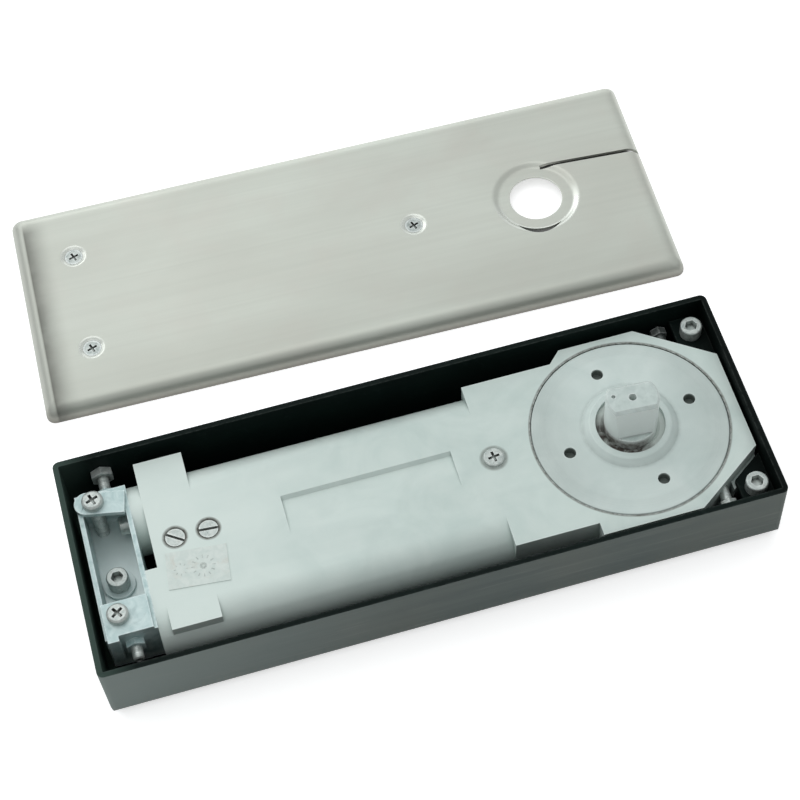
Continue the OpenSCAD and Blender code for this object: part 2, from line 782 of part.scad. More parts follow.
// Turned piston on its rod, lying along -X from the crosshead
module piston(y) {
    rod_x(rod_end - over, y, axis_z, crosshead_end - rod_end + over, rod_d / 2);
    rod_x(piston_end, y, axis_z, piston_l, bore_r - run_gap);
}

// Piston that loads the closing spring
module spring_follower() {
    color([0.58, 0.60, 0.61])
    difference() {
        union() {
            difference() {
                piston(barrel_y);
                rod_x(piston_end - over, barrel_y, axis_z, piston_l - follower_end, bore_r + over);
            }
            rod_x(piston_end, barrel_y, axis_z, piston_l - follower_end + over, spring_r - wire_d / 2 - 0.6);
        }
        rod_x(piston_end - over, barrel_y, axis_z, follower_end + 2, oil_way_r + 1);
    }
}

// Points of the spring's wire and the tube swept along them
spring_x0 = plug_x + 0.1;
spring_x1 = piston_end + piston_l - follower_end - 0.1 - over;
wire_steps = 10;
function wire_mid(i) = let (a = 360 * i / wire_steps, f = i / (wire_steps * spring_turns))
    [spring_x0 + wire_d / 2 + f * (spring_x1 - spring_x0 - wire_d), spring_r * cos(a), spring_r * sin(a)];
function wire_ring(i) = let (a = 360 * i / wire_steps, m = wire_mid(i))
    [for (k = [0:4]) let (b = 72 * k, q = wire_d / 2)
        m + q * [cos(b), sin(b) * cos(a), sin(b) * sin(a)]];

// Closing spring in the back barrel
module closing_spring() {
    n = wire_steps * spring_turns;
    pts = [for (i = [0:n]) each wire_ring(i)];
    walls = [for (i = [0:n - 1], k = [0:4]) each let (p = 5 * i + k, q = 5 * i + (k + 1) % 5)
        [[p, q, q + 5], [p, q + 5, p + 5]]];
    foot = [[4, 3, 2, 1, 0]];
    head = [[for (k = [0:4]) 5 * n + k]];
    color([0.35, 0.37, 0.38])
    translate([0, barrel_y, axis_z]) polyhedron(pts, concat(walls, foot, head));
}

// Piston that pushes the oil through the valves, with its check valve seat
module damper_piston() {
    color([0.58, 0.60, 0.61])
    difference() {
        piston(-barrel_y);
        rod_x(piston_end - over, -barrel_y, axis_z, 4 + over, ball_d / 2 - 0.8);
        rod_x(piston_end + 2, -barrel_y, axis_z, ball_seat - 2, ball_d / 2 + 0.2);
        rod_x(piston_end + ball_seat - over, -barrel_y, axis_z, piston_l - ball_seat + 4 + over, oil_way_r);
        translate([rod_end + 4, -barrel_y, axis_z - rod_d]) cylinder(h = 2 * rod_d, r = oil_way_r);
        difference() {
            rod_x(piston_end + groove_in, -barrel_y, axis_z, groove_w, bore_r + over);
            rod_x(piston_end + groove_in - over, -barrel_y, axis_z, groove_w + 2 * over, bore_r - 2);
        }
    }
}

// Sealing ring in the damper piston's groove
module piston_ring() {
    color([0.15, 0.15, 0.16])
    translate([piston_end + groove_in + 0.1, -barrel_y, axis_z]) rotate([0, 90, 0]) difference() {
        cylinder(h = groove_w - 0.2, r = bore_r - 0.02);
        translate([0, 0, -over]) cylinder(h = groove_w + 2 * over, r = bore_r - 1.9);
    }
}

// Steel ball of the check valve, held in the damper piston
module check_ball() {
    color([0.75, 0.76, 0.77])
    translate([piston_end + ball_seat - sqrt(pow(ball_d / 2, 2) - pow(oil_way_r, 2)) - 0.02,
               -barrel_y, axis_z])
        sphere(d = ball_d);
}

// End plug of a barrel, with its seal groove and the thread for a bracket bolt
module end_plug(y, spigot) {
    difference() {
        union() {
            rod_x(-barrel_end, y, axis_z, plug_l - 0.1, plug_r);
            rod_x(plug_x - 1, y, axis_z, 7, spigot);
        }
        rod_x(-barrel_end - over, y, axis_z, plug_l + over, m5_d / 2 + fit_gap);
        difference() {
            rod_x(plug_x - 4, y, axis_z, 2, plug_r + over);
            rod_x(plug_x - 5, y, axis_z, 4, plug_r - 1.9);
        }
    }
}

module spring_end_plug() {
    color([0.60, 0.62, 0.62]) end_plug(barrel_y, spring_r - wire_d / 2 - 0.6);
}

module damper_end_plug() {
    color([0.60, 0.62, 0.62]) end_plug(-barrel_y, 7);
}

// Ring seals of both end plugs
module plug_seals() {
    color([0.08, 0.08, 0.08])
    both_sides() translate([plug_x - 3, barrel_y, axis_z]) rotate([0, 90, 0])
        ring_seal(plug_r - 0.95, 0.9);
}

// Slotted regulating valve with its needle tip and seal groove, turned by an angle
module valve(x, turn) {
    r = valve_d / 2;
    stem_h = valve_l - 4;
    translate([-x, valve_y, top_z - stem_h]) difference() {
        union() {
            cylinder(h = stem_h - 0.3, r = r);
            translate([0, 0, -3.5]) cylinder(h = 3.5 + 0.01, r1 = 0.6, r2 = 2, $fn = 48);
        }
        rotate(turn) translate([-r - over, -0.6, stem_h - 1.7]) cube([2 * r + 2 * over, 1.2, 2]);
        translate([0, 0, stem_h - 8]) difference() {
            cylinder(h = 2, r = r + over);
            translate([0, 0, -over]) cylinder(h = 2 + 2 * over, r = r - 1.6);
        }
    }
}

module sweep_valve() {
    color([0.72, 0.78, 0.77]) valve(sweep_x, sweep_turn);
}

module latch_valve() {
    color([0.72, 0.78, 0.77]) valve(latch_x, latch_turn);
}

// Ring seals in the valves' grooves
module valve_seals() {
    color([0.08, 0.08, 0.08])
    for (x = [sweep_x, latch_x])
        translate([-x, valve_y, top_z - 7]) ring_seal(valve_d / 2 - 0.8, 0.75);
}

// Cross recess of a screw head, open upwards at z = 0
module cross_recess(size, deep) {
    for (a = [0, 90]) rotate(a)
        translate([-size / 2, -size / 9, -deep]) cube([size, size / 4.5, deep + over]);
}

// Screw in the oil filling hole
module filler_screw() {
    color([0.78, 0.80, 0.79])
    translate([-filler_x, filler_y, top_z]) difference() {
        union() {
            translate([0, 0, -cap_t + 0.6]) cylinder(h = cap_t, d = m6_d);
            cylinder(h = 0.9, d = filler_head_d);
            translate([0, 0, 0.9]) cylinder(h = 0.5, d1 = filler_head_d, d2 = filler_head_d - 1.6, $fn = 48);
        }
        translate([0, 0, 1.4]) rotate(8) cross_recess(5.2, 1.6);
    }
}

// Thin label that marks the valves
module setting_label() {
    color([0.90, 0.93, 0.91])
    translate([-(sweep_x + latch_x) / 2 - 1, valve_y - 8 - label_w / 2, top_z]) rotate(-6)
        linear_extrude(label_t) square([label_l, label_w], center = true);
}

// Plated channel on the end of the barrels, with its flanges and screwed end plates
module end_bracket() {
    wall_h = top_z - channel_z;
    color([0.62, 0.70, 0.71])
    difference() {
        translate([channel_x, -channel_front, channel_z])
            cube([channel_w, channel_front + channel_back, wall_h]);
        translate([channel_x + plate_t, -channel_front + end_plate_t, channel_z + plate_t])
            cube([channel_w - 2 * plate_t, channel_front + channel_back - 2 * end_plate_t, wall_h]);
        translate([clamp_x, clamp_y, channel_z - over]) linear_extrude(plate_t + 2 * over) {
            square([m6_d + 0.8, 2 * adjust], center = true);
            for (s = [-1, 1]) translate([0, s * adjust]) circle(m6_d / 2 + 0.4);
        }
        for (y = [level_back_y, -level_front_y]) translate([level_x, y, channel_z - over])
            cylinder(h = plate_t + 2 * over, r = m6_d / 2 + run_gap);
        rod_y(side_x, 0, side_screw_z, box_w / 2, m5_d / 2 + run_gap);
        rod_y(side_front_x, -box_w / 2, side_screw_z, box_w / 2, m5_d / 2 + run_gap);
        both_sides()
            rod_x(-barrel_end - plate_t - over, barrel_y, axis_z, plate_t + 2 * over, m5_d / 2 + 0.3);
    }
}

// Bolts that hold the channel to the two end plugs
module bracket_bolts() {
    color([0.72, 0.74, 0.75])
    both_sides() translate([-barrel_end - plate_t, barrel_y, axis_z]) rotate([0, -90, 0])
        socket_screw(m5_d, m5_head_d, m5_head_h, plate_t + bracket_bolt_l);
}

// Strap with a round end, turned about its screw
module strap_outline(back, ahead) {
    circle(strap_w / 2);
    translate([-back + strap_w / 2, 0]) circle(strap_w / 2);
    translate([-back + strap_w / 2, -strap_w / 2]) square([back + ahead - strap_w / 2, strap_w]);
}

module back_strap() {
    color([0.72, 0.80, 0.80])
    translate([level_x, level_back_y, top_z]) difference() {
        rotate(-12) linear_extrude(strap_t) strap_outline(strap_back, strap_ahead);
        translate([0, 0, -over]) cylinder(h = strap_t + 2 * over, r = m6_d / 2 + run_gap);
    }
}

// Front strap, square ended, with a leg bent down in front of the channel
module front_strap() {
    front = -channel_front - 0.3;
    left = channel_x + 1;
    color([0.72, 0.80, 0.80])
    difference() {
        union() {
            translate([left, front, top_z])
                cube([-barrel_end - 1.5 - left, -level_front_y + 7 - front, strap_t]);
            translate([left, front - strap_t, top_z - leg_l]) cube([leg_w, strap_t, leg_l + strap_t]);
            translate([left, front - strap_t, top_z]) cube([leg_w, 2 * strap_t, strap_t]);
        }
        translate([level_x, -level_front_y, top_z - over])
            cylinder(h = strap_t + 2 * over, r = m6_d / 2 + run_gap);
    }
}

// Levelling screw: round head with a cross recess on the strap, point on the box floor
module level_screw(y, turn) {
    z0 = top_z + strap_t + 0.1;
    color([0.80, 0.80, 0.80])
    translate([level_x, y, z0]) difference() {
        union() {
            cylinder(h = level_head_h - 0.8, d = level_head_d);
            translate([0, 0, level_head_h - 0.8])
                cylinder(h = 0.8, d1 = level_head_d, d2 = level_head_d - 2, $fn = 48);
            translate([0, 0, floor_z + side_gap - z0]) cylinder(h = z0 - floor_z, d = m6_d);
        }
        translate([0, 0, level_head_h]) rotate(turn) cross_recess(5.6, 2.2);
    }
}

module back_level_screw() {
    level_screw(level_back_y, 20);
}

module front_level_screw() {
    level_screw(-level_front_y, 35);
}

// Screw that clamps the bracket down to the box floor
module clamp_screw() {
    z0 = channel_z + plate_t + side_gap + 1.6;
    color([0.74, 0.76, 0.76])
    translate([clamp_x, clamp_y, z0]) socket_screw(m6_d, m6_head_d, m6_head_h + 1, z0 - box_wall - 0.3);
}

// Large washer under the clamp screw
module clamp_washer() {
    color([0.66, 0.72, 0.73])
    translate([clamp_x, clamp_y, channel_z + plate_t + side_gap]) difference() {
        cylinder(h = 1.6, d = washer_d);
        translate([0, 0, -over]) cylinder(h = 1.6 + 2 * over, r = m6_d / 2 + 0.4);
    }
}

// Screw whose hexagon head bears on the box's back wall
module back_side_screw() {
    wall_y = box_in_y - 0.2;
    color([0.80, 0.83, 0.83])
    translate([side_x, wall_y, side_screw_z]) rotate([90, 0, 0]) {
        rotate(30) linear_extrude(hex_h) hex(hex_af);
        cylinder(h = wall_y - channel_back + end_plate_t + 1, d = m5_d);
    }
}

// Screw towards the front wall, backed off from it
module front_side_screw() {
    out = 9;
    color([0.80, 0.83, 0.83])
    translate([side_front_x, -channel_front - out, side_screw_z]) rotate([-90, 0, 0]) difference() {
        union() {
            cylinder(h = 0.6, d1 = m5_d - 1.2, d2 = m5_d, $fn = 48);
            translate([0, 0, 0.6]) cylinder(h = out + end_plate_t + 3 - 0.6, d = m5_d);
        }
        translate([0, 0, -over]) linear_extrude(2.5 + over) hex(2.5);
    }
}

// Lock nuts of the side screws, on the outside of the end plates
module side_screw_nuts() {
    color([0.76, 0.80, 0.80])
    for (p = [[side_x, channel_back + nut_h], [side_front_x, -channel_front]])
        translate([p.x, p.y, side_screw_z]) rotate([90, 0, 0]) linear_extrude(nut_h) difference() {
            rotate(30) hex(nut_af);
            circle(m5_d / 2 + run_gap);
        }
}

// Short hexagon screws in the corner slopes of the head
module head_side_screws() {
    tip = box_in_y - adjust - side_gap - 1;
    color([0.78, 0.80, 0.80])
    both_sides() translate([head_screw_x, tip, axis_z + head_screw_up]) rotate([90, 0, 0]) {
        rotate(30) linear_extrude(hex_h) hex(head_screw_af);
        cylinder(h = tip - cap_seat_r * 0.8 - 1, d = m5_d);
    }
}

// Puts the cover's own frame, far end and front edge at 0, where the cover lies
module at_cover() {
    translate([spindle_to_end - box_l - 1, box_w / 2 + cover_gap, 0]) rotate(cover_turn) children();
}

// Places of the three cover screws
module at_cover_screws() {
    for (s = [-1, 1]) translate([cover_screw_x, cover_w / 2 + s * cover_screw_y, cover_h]) children();
    translate([cover_hole_x - filler_x, cover_w / 2, cover_h]) children();
}

// Half section of the dish round the spindle hole
module dish_section() {
    foot = dish_d / 2 - 3;
    z0 = cover_h - cover_t;
    polygon([
        [cover_hole_d / 2, z0 - dish_deep], [foot, z0 - dish_deep], [dish_d / 2 + 0.3, z0],
        [dish_d / 2 + 0.3, cover_h], [dish_d / 2, cover_h], [foot, cover_h - dish_deep],
        [cover_hole_d / 2, cover_h - dish_deep]
    ]);
}

// Crescent cut at the foot of the dish, on the side away from the slit
module crescent() {
    inner = dish_d / 2 - 2.6;
    outer = inner + crescent_w;
    shift = (outer * outer - inner * inner) / 2 / (outer - inner * cos(crescent_half));
    difference() {
        translate([0, -shift]) circle(outer - shift);
        circle(inner);
    }
}

// Pressed stainless cover with a rolled edge, laid on its rim
module cover_plate() {
    seat_d = m5_d + 0.6;
    color([0.74, 0.75, 0.72])
    at_cover() difference() {
        union() {
            difference() {
                translate([cover_l / 2, cover_w / 2, cover_h]) mirror([0, 0, 1])
                    pan(cover_l, cover_w, cover_h, cover_r, cover_roll);
                translate([cover_l / 2, cover_w / 2, cover_h - cover_t]) mirror([0, 0, 1])
                    pan(cover_l - 2 * cover_t, cover_w - 2 * cover_t, cover_h,
                        cover_r - cover_t, cover_roll - cover_t);
                translate([cover_hole_x, cover_w / 2, 0]) cylinder(h = cover_h + over, d = dish_d);
            }
            translate([cover_hole_x, cover_w / 2, 0]) rotate_extrude($fn = 96) dish_section();
            at_cover_screws() translate([0, 0, -3]) cylinder(h = 3 - cover_t / 2, d = csk_d + 1.2);
        }
        at_cover_screws() {
            translate([0, 0, -3.4]) cylinder(h = 4, d = seat_d);
            translate([0, 0, -2.4]) cylinder(h = 2.4, d1 = seat_d - 0.6, d2 = csk_d, $fn = 48);
            cylinder(h = over, d = csk_d);
        }
        translate([cover_hole_x + slit_start, cover_w / 2 + slit_y, -over]) rotate(slit_turn)
            translate([0, -slit_w / 2, 0]) cube([cover_l, slit_w, cover_h + 2 * over]);
        translate([cover_hole_x, cover_w / 2, -over]) linear_extrude(cover_h + 2 * over)
            rotate(crescent_turn) crescent();
    }
}

// Countersunk cross-head screws of the cover
module cover_screws() {
    color([0.86, 0.88, 0.87])
    at_cover() at_cover_screws() difference() {
        union() {
            translate([0, 0, -2.3]) cylinder(h = 2.2, d1 = m5_d, d2 = csk_d - 0.5, $fn = 48);
            translate([0, 0, -cover_h + 0.8]) cylinder(h = cover_h - 2, d = m5_d);
        }
        rotate(20) cross_recess(5, 1.8);
    }
}

cement_box();
corner_screws();
corner_clamps();
closer_housing();
bearing_cap();
cap_seal();
upper_bearing();
lower_bearing();
spindle_seal();
spindle();
heart_cam();
cam_roller();
roller_pin();
roller_carriage();
spring_follower();
closing_spring();
damper_piston();
piston_ring();
check_ball();
spring_end_plug();
damper_end_plug();
plug_seals();
sweep_valve();
latch_valve();
valve_seals();
filler_screw();
setting_label();
end_bracket();
bracket_bolts();
back_strap();
front_strap();
back_level_screw();
front_level_screw();
clamp_screw();
clamp_washer();
back_side_screw();
front_side_screw();
side_screw_nuts();
head_side_screws();
cover_plate();
cover_screws();
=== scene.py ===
"""Looks of the concealed door closer: box, closer body, bracket and the loose cover plate."""

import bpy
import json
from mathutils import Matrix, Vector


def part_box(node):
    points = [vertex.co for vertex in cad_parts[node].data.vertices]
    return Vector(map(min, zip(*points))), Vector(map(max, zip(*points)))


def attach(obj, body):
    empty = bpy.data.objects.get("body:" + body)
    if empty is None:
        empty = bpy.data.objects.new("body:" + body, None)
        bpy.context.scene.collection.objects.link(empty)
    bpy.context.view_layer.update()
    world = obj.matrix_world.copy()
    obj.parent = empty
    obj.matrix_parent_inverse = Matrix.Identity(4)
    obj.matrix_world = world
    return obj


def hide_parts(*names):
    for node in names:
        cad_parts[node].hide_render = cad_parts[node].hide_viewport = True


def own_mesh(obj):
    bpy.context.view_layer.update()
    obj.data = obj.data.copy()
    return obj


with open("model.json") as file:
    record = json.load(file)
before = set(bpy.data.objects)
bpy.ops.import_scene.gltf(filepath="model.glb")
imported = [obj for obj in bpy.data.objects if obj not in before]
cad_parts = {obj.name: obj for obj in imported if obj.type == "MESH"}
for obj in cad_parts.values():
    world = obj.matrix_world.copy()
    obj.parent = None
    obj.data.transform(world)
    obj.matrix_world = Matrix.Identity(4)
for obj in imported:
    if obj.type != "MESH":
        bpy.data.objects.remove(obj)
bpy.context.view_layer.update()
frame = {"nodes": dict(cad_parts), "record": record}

import json
import math

import bmesh
import bpy
from mathutils import Matrix, Vector

MM = 0.001
NODES = frame["nodes"]
BODY_OF = {n: b for b, members in frame["record"]["behaviour"]["bodies"].items() for n in members}
SLOT_OF = {s["node"]: s["material_slot"] for s in frame["record"]["subparts"]}

# Sizes of the cover plate in millimetres, from its own back left corner, and its place beside the box
COVER_L, COVER_W, COVER_H, SHEET = 315.0, 120.4, 8.0, 1.5
COVER_ROLL, COVER_CORNER = 7.5, 4.5
COVER_HOLE = (256.5, COVER_W / 2)
COVER_SCREWS = [(27.8, COVER_W / 2 - 27.8), (27.8, COVER_W / 2 + 27.8), (194.0, COVER_W / 2)]
COVER_CORNER_AT, COVER_TURN = (-0.253, 0.100, 0.0), math.radians(-1.4)
COVER_PLACE = Matrix.Translation(COVER_CORNER_AT) @ Matrix.Rotation(COVER_TURN, 4, "Z")
COVER_SHIFT = tuple(COVER_PLACE.inverted().translation)
# Each pair is a radius and a depth below the plate's top
DIMPLE = [(7.2, 0.0), (6.7, 0.0), (6.2, 0.06), (5.8, 0.2), (5.4, 0.42), (5.0, 0.66), (4.7, 0.8),
          (4.55, 0.86)]
DISH = [(22.6, 0.0), (22.1, 0.0), (21.6, 0.05), (21.1, 0.18), (20.5, 0.46), (19.7, 0.95), (19.1, 1.3),
        (18.6, 1.5), (18.0, 1.6), (17.2, 1.6), (13.6, 1.6), (13.1, 1.64), (12.9, 1.72)]

# Places in metres that the finishes follow
WALL_LEFT, WALL_RIGHT, WALL_SIDE = -0.2505, 0.0525, 0.0525
CAP_JOINT, PIN_HOLES_AT, HEAD_SIDE_SCREW_AT = 0.0446, 0.03025, 0.030
# Axis X, axis Y, radius, width and amount of the grime round each valve, the filler screw and the cap
GRIMED_RIMS = [(-0.1920, 0.0052, 0.0048, 0.0012, 1.0), (-0.2070, 0.0052, 0.0048, 0.0012, 1.0),
               (-0.0625, 0.0025, 0.0054, 0.0013, 0.6), (0.0, 0.0, CAP_JOINT, 0.0009, 0.95)]


# Shader groups

class Wiring:
    """A node tree with short calls for adding nodes and joining them."""

    def __init__(self, tree):
        self.tree = tree

    def node(self, kind, **values):
        made = self.tree.nodes.new(kind)
        for key, value in values.items():
            setattr(made, key, value)
        return made

    def join(self, source, target):
        self.tree.links.new(source, target)

    def put(self, value, socket):
        if isinstance(value, bpy.types.NodeSocket):
            self.join(value, socket)
        else:
            socket.default_value = value

    def math(self, operation, first, second=0.0, third=0.0, clamp=False):
        made = self.node("ShaderNodeMath", operation=operation, use_clamp=clamp)
        for slot, value in enumerate((first, second, third)):
            self.put(value, made.inputs[slot])
        return made.outputs[0]

    def mix(self, factor, first, second):
        made = self.node("ShaderNodeMix", data_type="RGBA")
        self.put(factor, made.inputs[0])
        self.put(first, made.inputs[6])
        self.put(second, made.inputs[7])
        return made.outputs[2]

    def span(self, value, low, high, out_low=0.0, out_high=1.0):
        made = self.node("ShaderNodeMapRange")
        made.clamp = True
        for slot, item in enumerate((value, low, high, out_low, out_high)):
            self.put(item, made.inputs[slot])
        return made.outputs[0]

    def noise(self, where, scale, detail=3.0, rough=0.55, warp=0.0):
        made = self.node("ShaderNodeTexNoise")
        self.put(where, made.inputs["Vector"])
        self.put(scale, made.inputs["Scale"])
        self.put(detail, made.inputs["Detail"])
        self.put(rough, made.inputs["Roughness"])
        self.put(warp, made.inputs["Distortion"])
        return made.outputs["Fac"]

    def stretch(self, where, scale, shift=(0, 0, 0), turn=0.0):
        made = self.node("ShaderNodeMapping")
        self.put(where, made.inputs["Vector"])
        made.inputs["Location"].default_value = shift
        made.inputs["Rotation"].default_value = (0, 0, turn)
        made.inputs["Scale"].default_value = scale
        return made.outputs["Vector"]

    def parts(self, vector):
        made = self.node("ShaderNodeSeparateXYZ")
        self.join(vector, made.inputs[0])
        return made.outputs["X"], made.outputs["Y"], made.outputs["Z"]

    def far_from(self, where, x, y):
        """Distance in plan from an upright axis."""
        across, along, _ = self.parts(where)
        dx = self.math("SUBTRACT", across, x)
        dy = self.math("SUBTRACT", along, y)
        squares = self.math("ADD", self.math("MULTIPLY", dx, dx), self.math("MULTIPLY", dy, dy))
        return self.math("SQRT", squares)

    def upward(self):
        """How far a face looks up: 1 for level faces, 0 for upright ones."""
        return self.parts(self.node("ShaderNodeNewGeometry").outputs["Normal"])[2]


def new_group(name, inputs, outputs):
    """A shader group with its own sockets; returns its wiring, its input and its output node."""
    tree = bpy.data.node_groups.new(name, "ShaderNodeTree")
    for label, kind, default in inputs:
        socket = tree.interface.new_socket(name=label, in_out="INPUT", socket_type=kind)
        if default is not None:
            socket.default_value = default
    for label, kind in outputs:
        tree.interface.new_socket(name=label, in_out="OUTPUT", socket_type=kind)
    wires = Wiring(tree)
    return wires, wires.node("NodeGroupInput"), wires.node("NodeGroupOutput")


FLOAT, VECTOR = "NodeSocketFloat", "NodeSocketVector"


def brushed_grain_group():
    """Fine parallel grain: long thin streaks along one axis."""
    w, given, out = new_group(
        "brushed_grain",
        [("Position", VECTOR, None), ("Along", VECTOR, (60, 3000, 3000)), ("Strength", FLOAT, 0.5)],
        [("Streak", FLOAT), ("Broad", FLOAT)])
    scaled = w.node("ShaderNodeVectorMath", operation="MULTIPLY")
    w.join(given.outputs["Position"], scaled.inputs[0])
    w.join(given.outputs["Along"], scaled.inputs[1])
    fine = w.noise(scaled.outputs[0], 1.0, 4.0, 0.62)
    wide = w.noise(scaled.outputs[0], 0.17, 3.0, 0.55)
    w.join(w.math("MULTIPLY_ADD", w.math("SUBTRACT", fine, 0.5), given.outputs["Strength"], 0.5),
           out.inputs["Streak"])
    w.join(wide, out.inputs["Broad"])
    return w.tree


def wear_and_corner_shade_group():
    """Rubbed outer edges, broken up by noise, and the grime and painted shade of inner corners, within a
    short reach.
    """
    w, given, out = new_group(
        "wear_and_corner_shade",
        [("Position", VECTOR, None), ("Amount", FLOAT, 0.5), ("Breakup", FLOAT, 900.0),
         ("Reach", FLOAT, 0.0008)],
        [("Bare", FLOAT), ("Corner", FLOAT)])
    within = w.node("ShaderNodeAmbientOcclusion", samples=4, inside=True, only_local=True)
    w.join(given.outputs["Reach"], within.inputs["Distance"])
    edge = w.span(within.outputs["AO"], 0.9, 0.5)
    patches = w.span(w.noise(given.outputs["Position"], given.outputs["Breakup"], 4.0, 0.65), 0.36, 0.6)
    bare = w.math("MULTIPLY", w.math("MULTIPLY", edge, patches), given.outputs["Amount"], clamp=True)
    w.join(bare, out.inputs["Bare"])
    # Inner corners: grime and painted shade, from how closed in each point is.
    around = w.node("ShaderNodeAmbientOcclusion", samples=4, inside=False, only_local=True)
    w.join(w.math("MULTIPLY", given.outputs["Reach"], 1.6), around.inputs["Distance"])
    w.join(w.span(around.outputs["AO"], 0.92, 0.45), out.inputs["Corner"])
    return w.tree


def dust_group():
    """Pale dust on faces that look up, in soft patches."""
    w, given, out = new_group(
        "settled_dust",
        [("Position", VECTOR, None), ("Amount", FLOAT, 0.3), ("Patch", FLOAT, 70.0)],
        [("Dust", FLOAT)])
    up = w.span(w.upward(), 0.2, 0.95)
    soft = w.span(w.noise(given.outputs["Position"], given.outputs["Patch"], 5.0, 0.6, 0.4), 0.4, 0.75)
    w.join(w.math("MULTIPLY", w.math("MULTIPLY", up, soft), given.outputs["Amount"], clamp=True),
           out.inputs["Dust"])
    return w.tree


def casting_skin_group():
    """Height of a sprayed casting: fine sand and slow waves, with the clouds of the spray."""
    w, given, out = new_group(
        "casting_skin",
        [("Position", VECTOR, None), ("Sand", FLOAT, 2600.0), ("Wave", FLOAT, 160.0),
         ("Sand depth", FLOAT, 0.5)],
        [("Height", FLOAT), ("Cloud", FLOAT)])
    sand = w.noise(given.outputs["Position"], given.outputs["Sand"], 2.0, 0.5)
    wave = w.noise(given.outputs["Position"], given.outputs["Wave"], 3.0, 0.5, 0.6)
    w.join(w.math("MULTIPLY_ADD", sand, given.outputs["Sand depth"], wave), out.inputs["Height"])
    w.join(w.noise(given.outputs["Position"], 42.0, 4.0, 0.55, 0.8), out.inputs["Cloud"])
    return w.tree


def grime_ring_group():
    """Dirt that gathers round an upright axis between two radii, broken up by noise."""
    w, given, out = new_group(
        "grime_ring",
        [("Position", VECTOR, None), ("Axis X", FLOAT, 0.0), ("Axis Y", FLOAT, 0.0),
         ("Radius", FLOAT, 0.01), ("Width", FLOAT, 0.001), ("Amount", FLOAT, 0.6),
         ("Least", FLOAT, 0.35)],
        [("Grime", FLOAT)])
    far = w.far_from(given.outputs["Position"], given.outputs["Axis X"], given.outputs["Axis Y"])
    off = w.math("ABSOLUTE", w.math("SUBTRACT", far, given.outputs["Radius"]))
    band = w.span(w.math("DIVIDE", off, given.outputs["Width"]), 1.0, 0.2)
    broken = w.span(w.noise(given.outputs["Position"], 380.0, 4.0, 0.6, 0.5), 0.32, 0.62,
                    given.outputs["Least"], 1.0)
    w.join(w.math("MULTIPLY", w.math("MULTIPLY", band, broken), given.outputs["Amount"], clamp=True),
           out.inputs["Grime"])
    return w.tree


GRAIN = brushed_grain_group()
WEAR_AND_SHADE = wear_and_corner_shade_group()
DUST = dust_group()
SKIN = casting_skin_group()
RING = grime_ring_group()


class Finish:
    """A material in the making: its Principled shader, its position and calls for the shared groups."""

    def __init__(self, name, **sockets):
        self.material = bpy.data.materials.new(name)
        self.material.use_nodes = True
        tree = self.material.node_tree
        tree.nodes.clear()
        self.w = Wiring(tree)
        out = self.w.node("ShaderNodeOutputMaterial")
        self.shader = self.w.node("ShaderNodeBsdfPrincipled")
        self.w.join(self.shader.outputs[0], out.inputs[0])
        self.where = self.w.node("ShaderNodeTexCoord").outputs["Object"]
        for label, value in sockets.items():
            self.shader.inputs[label.replace("_", " ")].default_value = value

    def group(self, tree, **values):
        made = self.w.node("ShaderNodeGroup")
        made.node_tree = tree
        self.w.join(self.where, made.inputs["Position"])
        for label, value in values.items():
            self.w.put(value, made.inputs[label.replace("_", " ")])
        return made.outputs

    def feed(self, label, value):
        self.w.put(value, self.shader.inputs[label])

    def bump(self, height, strength, distance):
        made = self.w.node("ShaderNodeBump")
        made.inputs["Strength"].default_value = strength
        made.inputs["Distance"].default_value = distance
        self.w.join(height, made.inputs["Height"])
        self.w.join(made.outputs[0], self.shader.inputs["Normal"])


def rgb(red, green, blue):
    """A colour read on a screen, as the linear colour that renders to it."""
    def line(value):
        value = value / 255
        return value / 12.92 if value <= 0.04045 else ((value + 0.055) / 1.055) ** 2.4
    return (line(red), line(green), line(blue), 1.0)


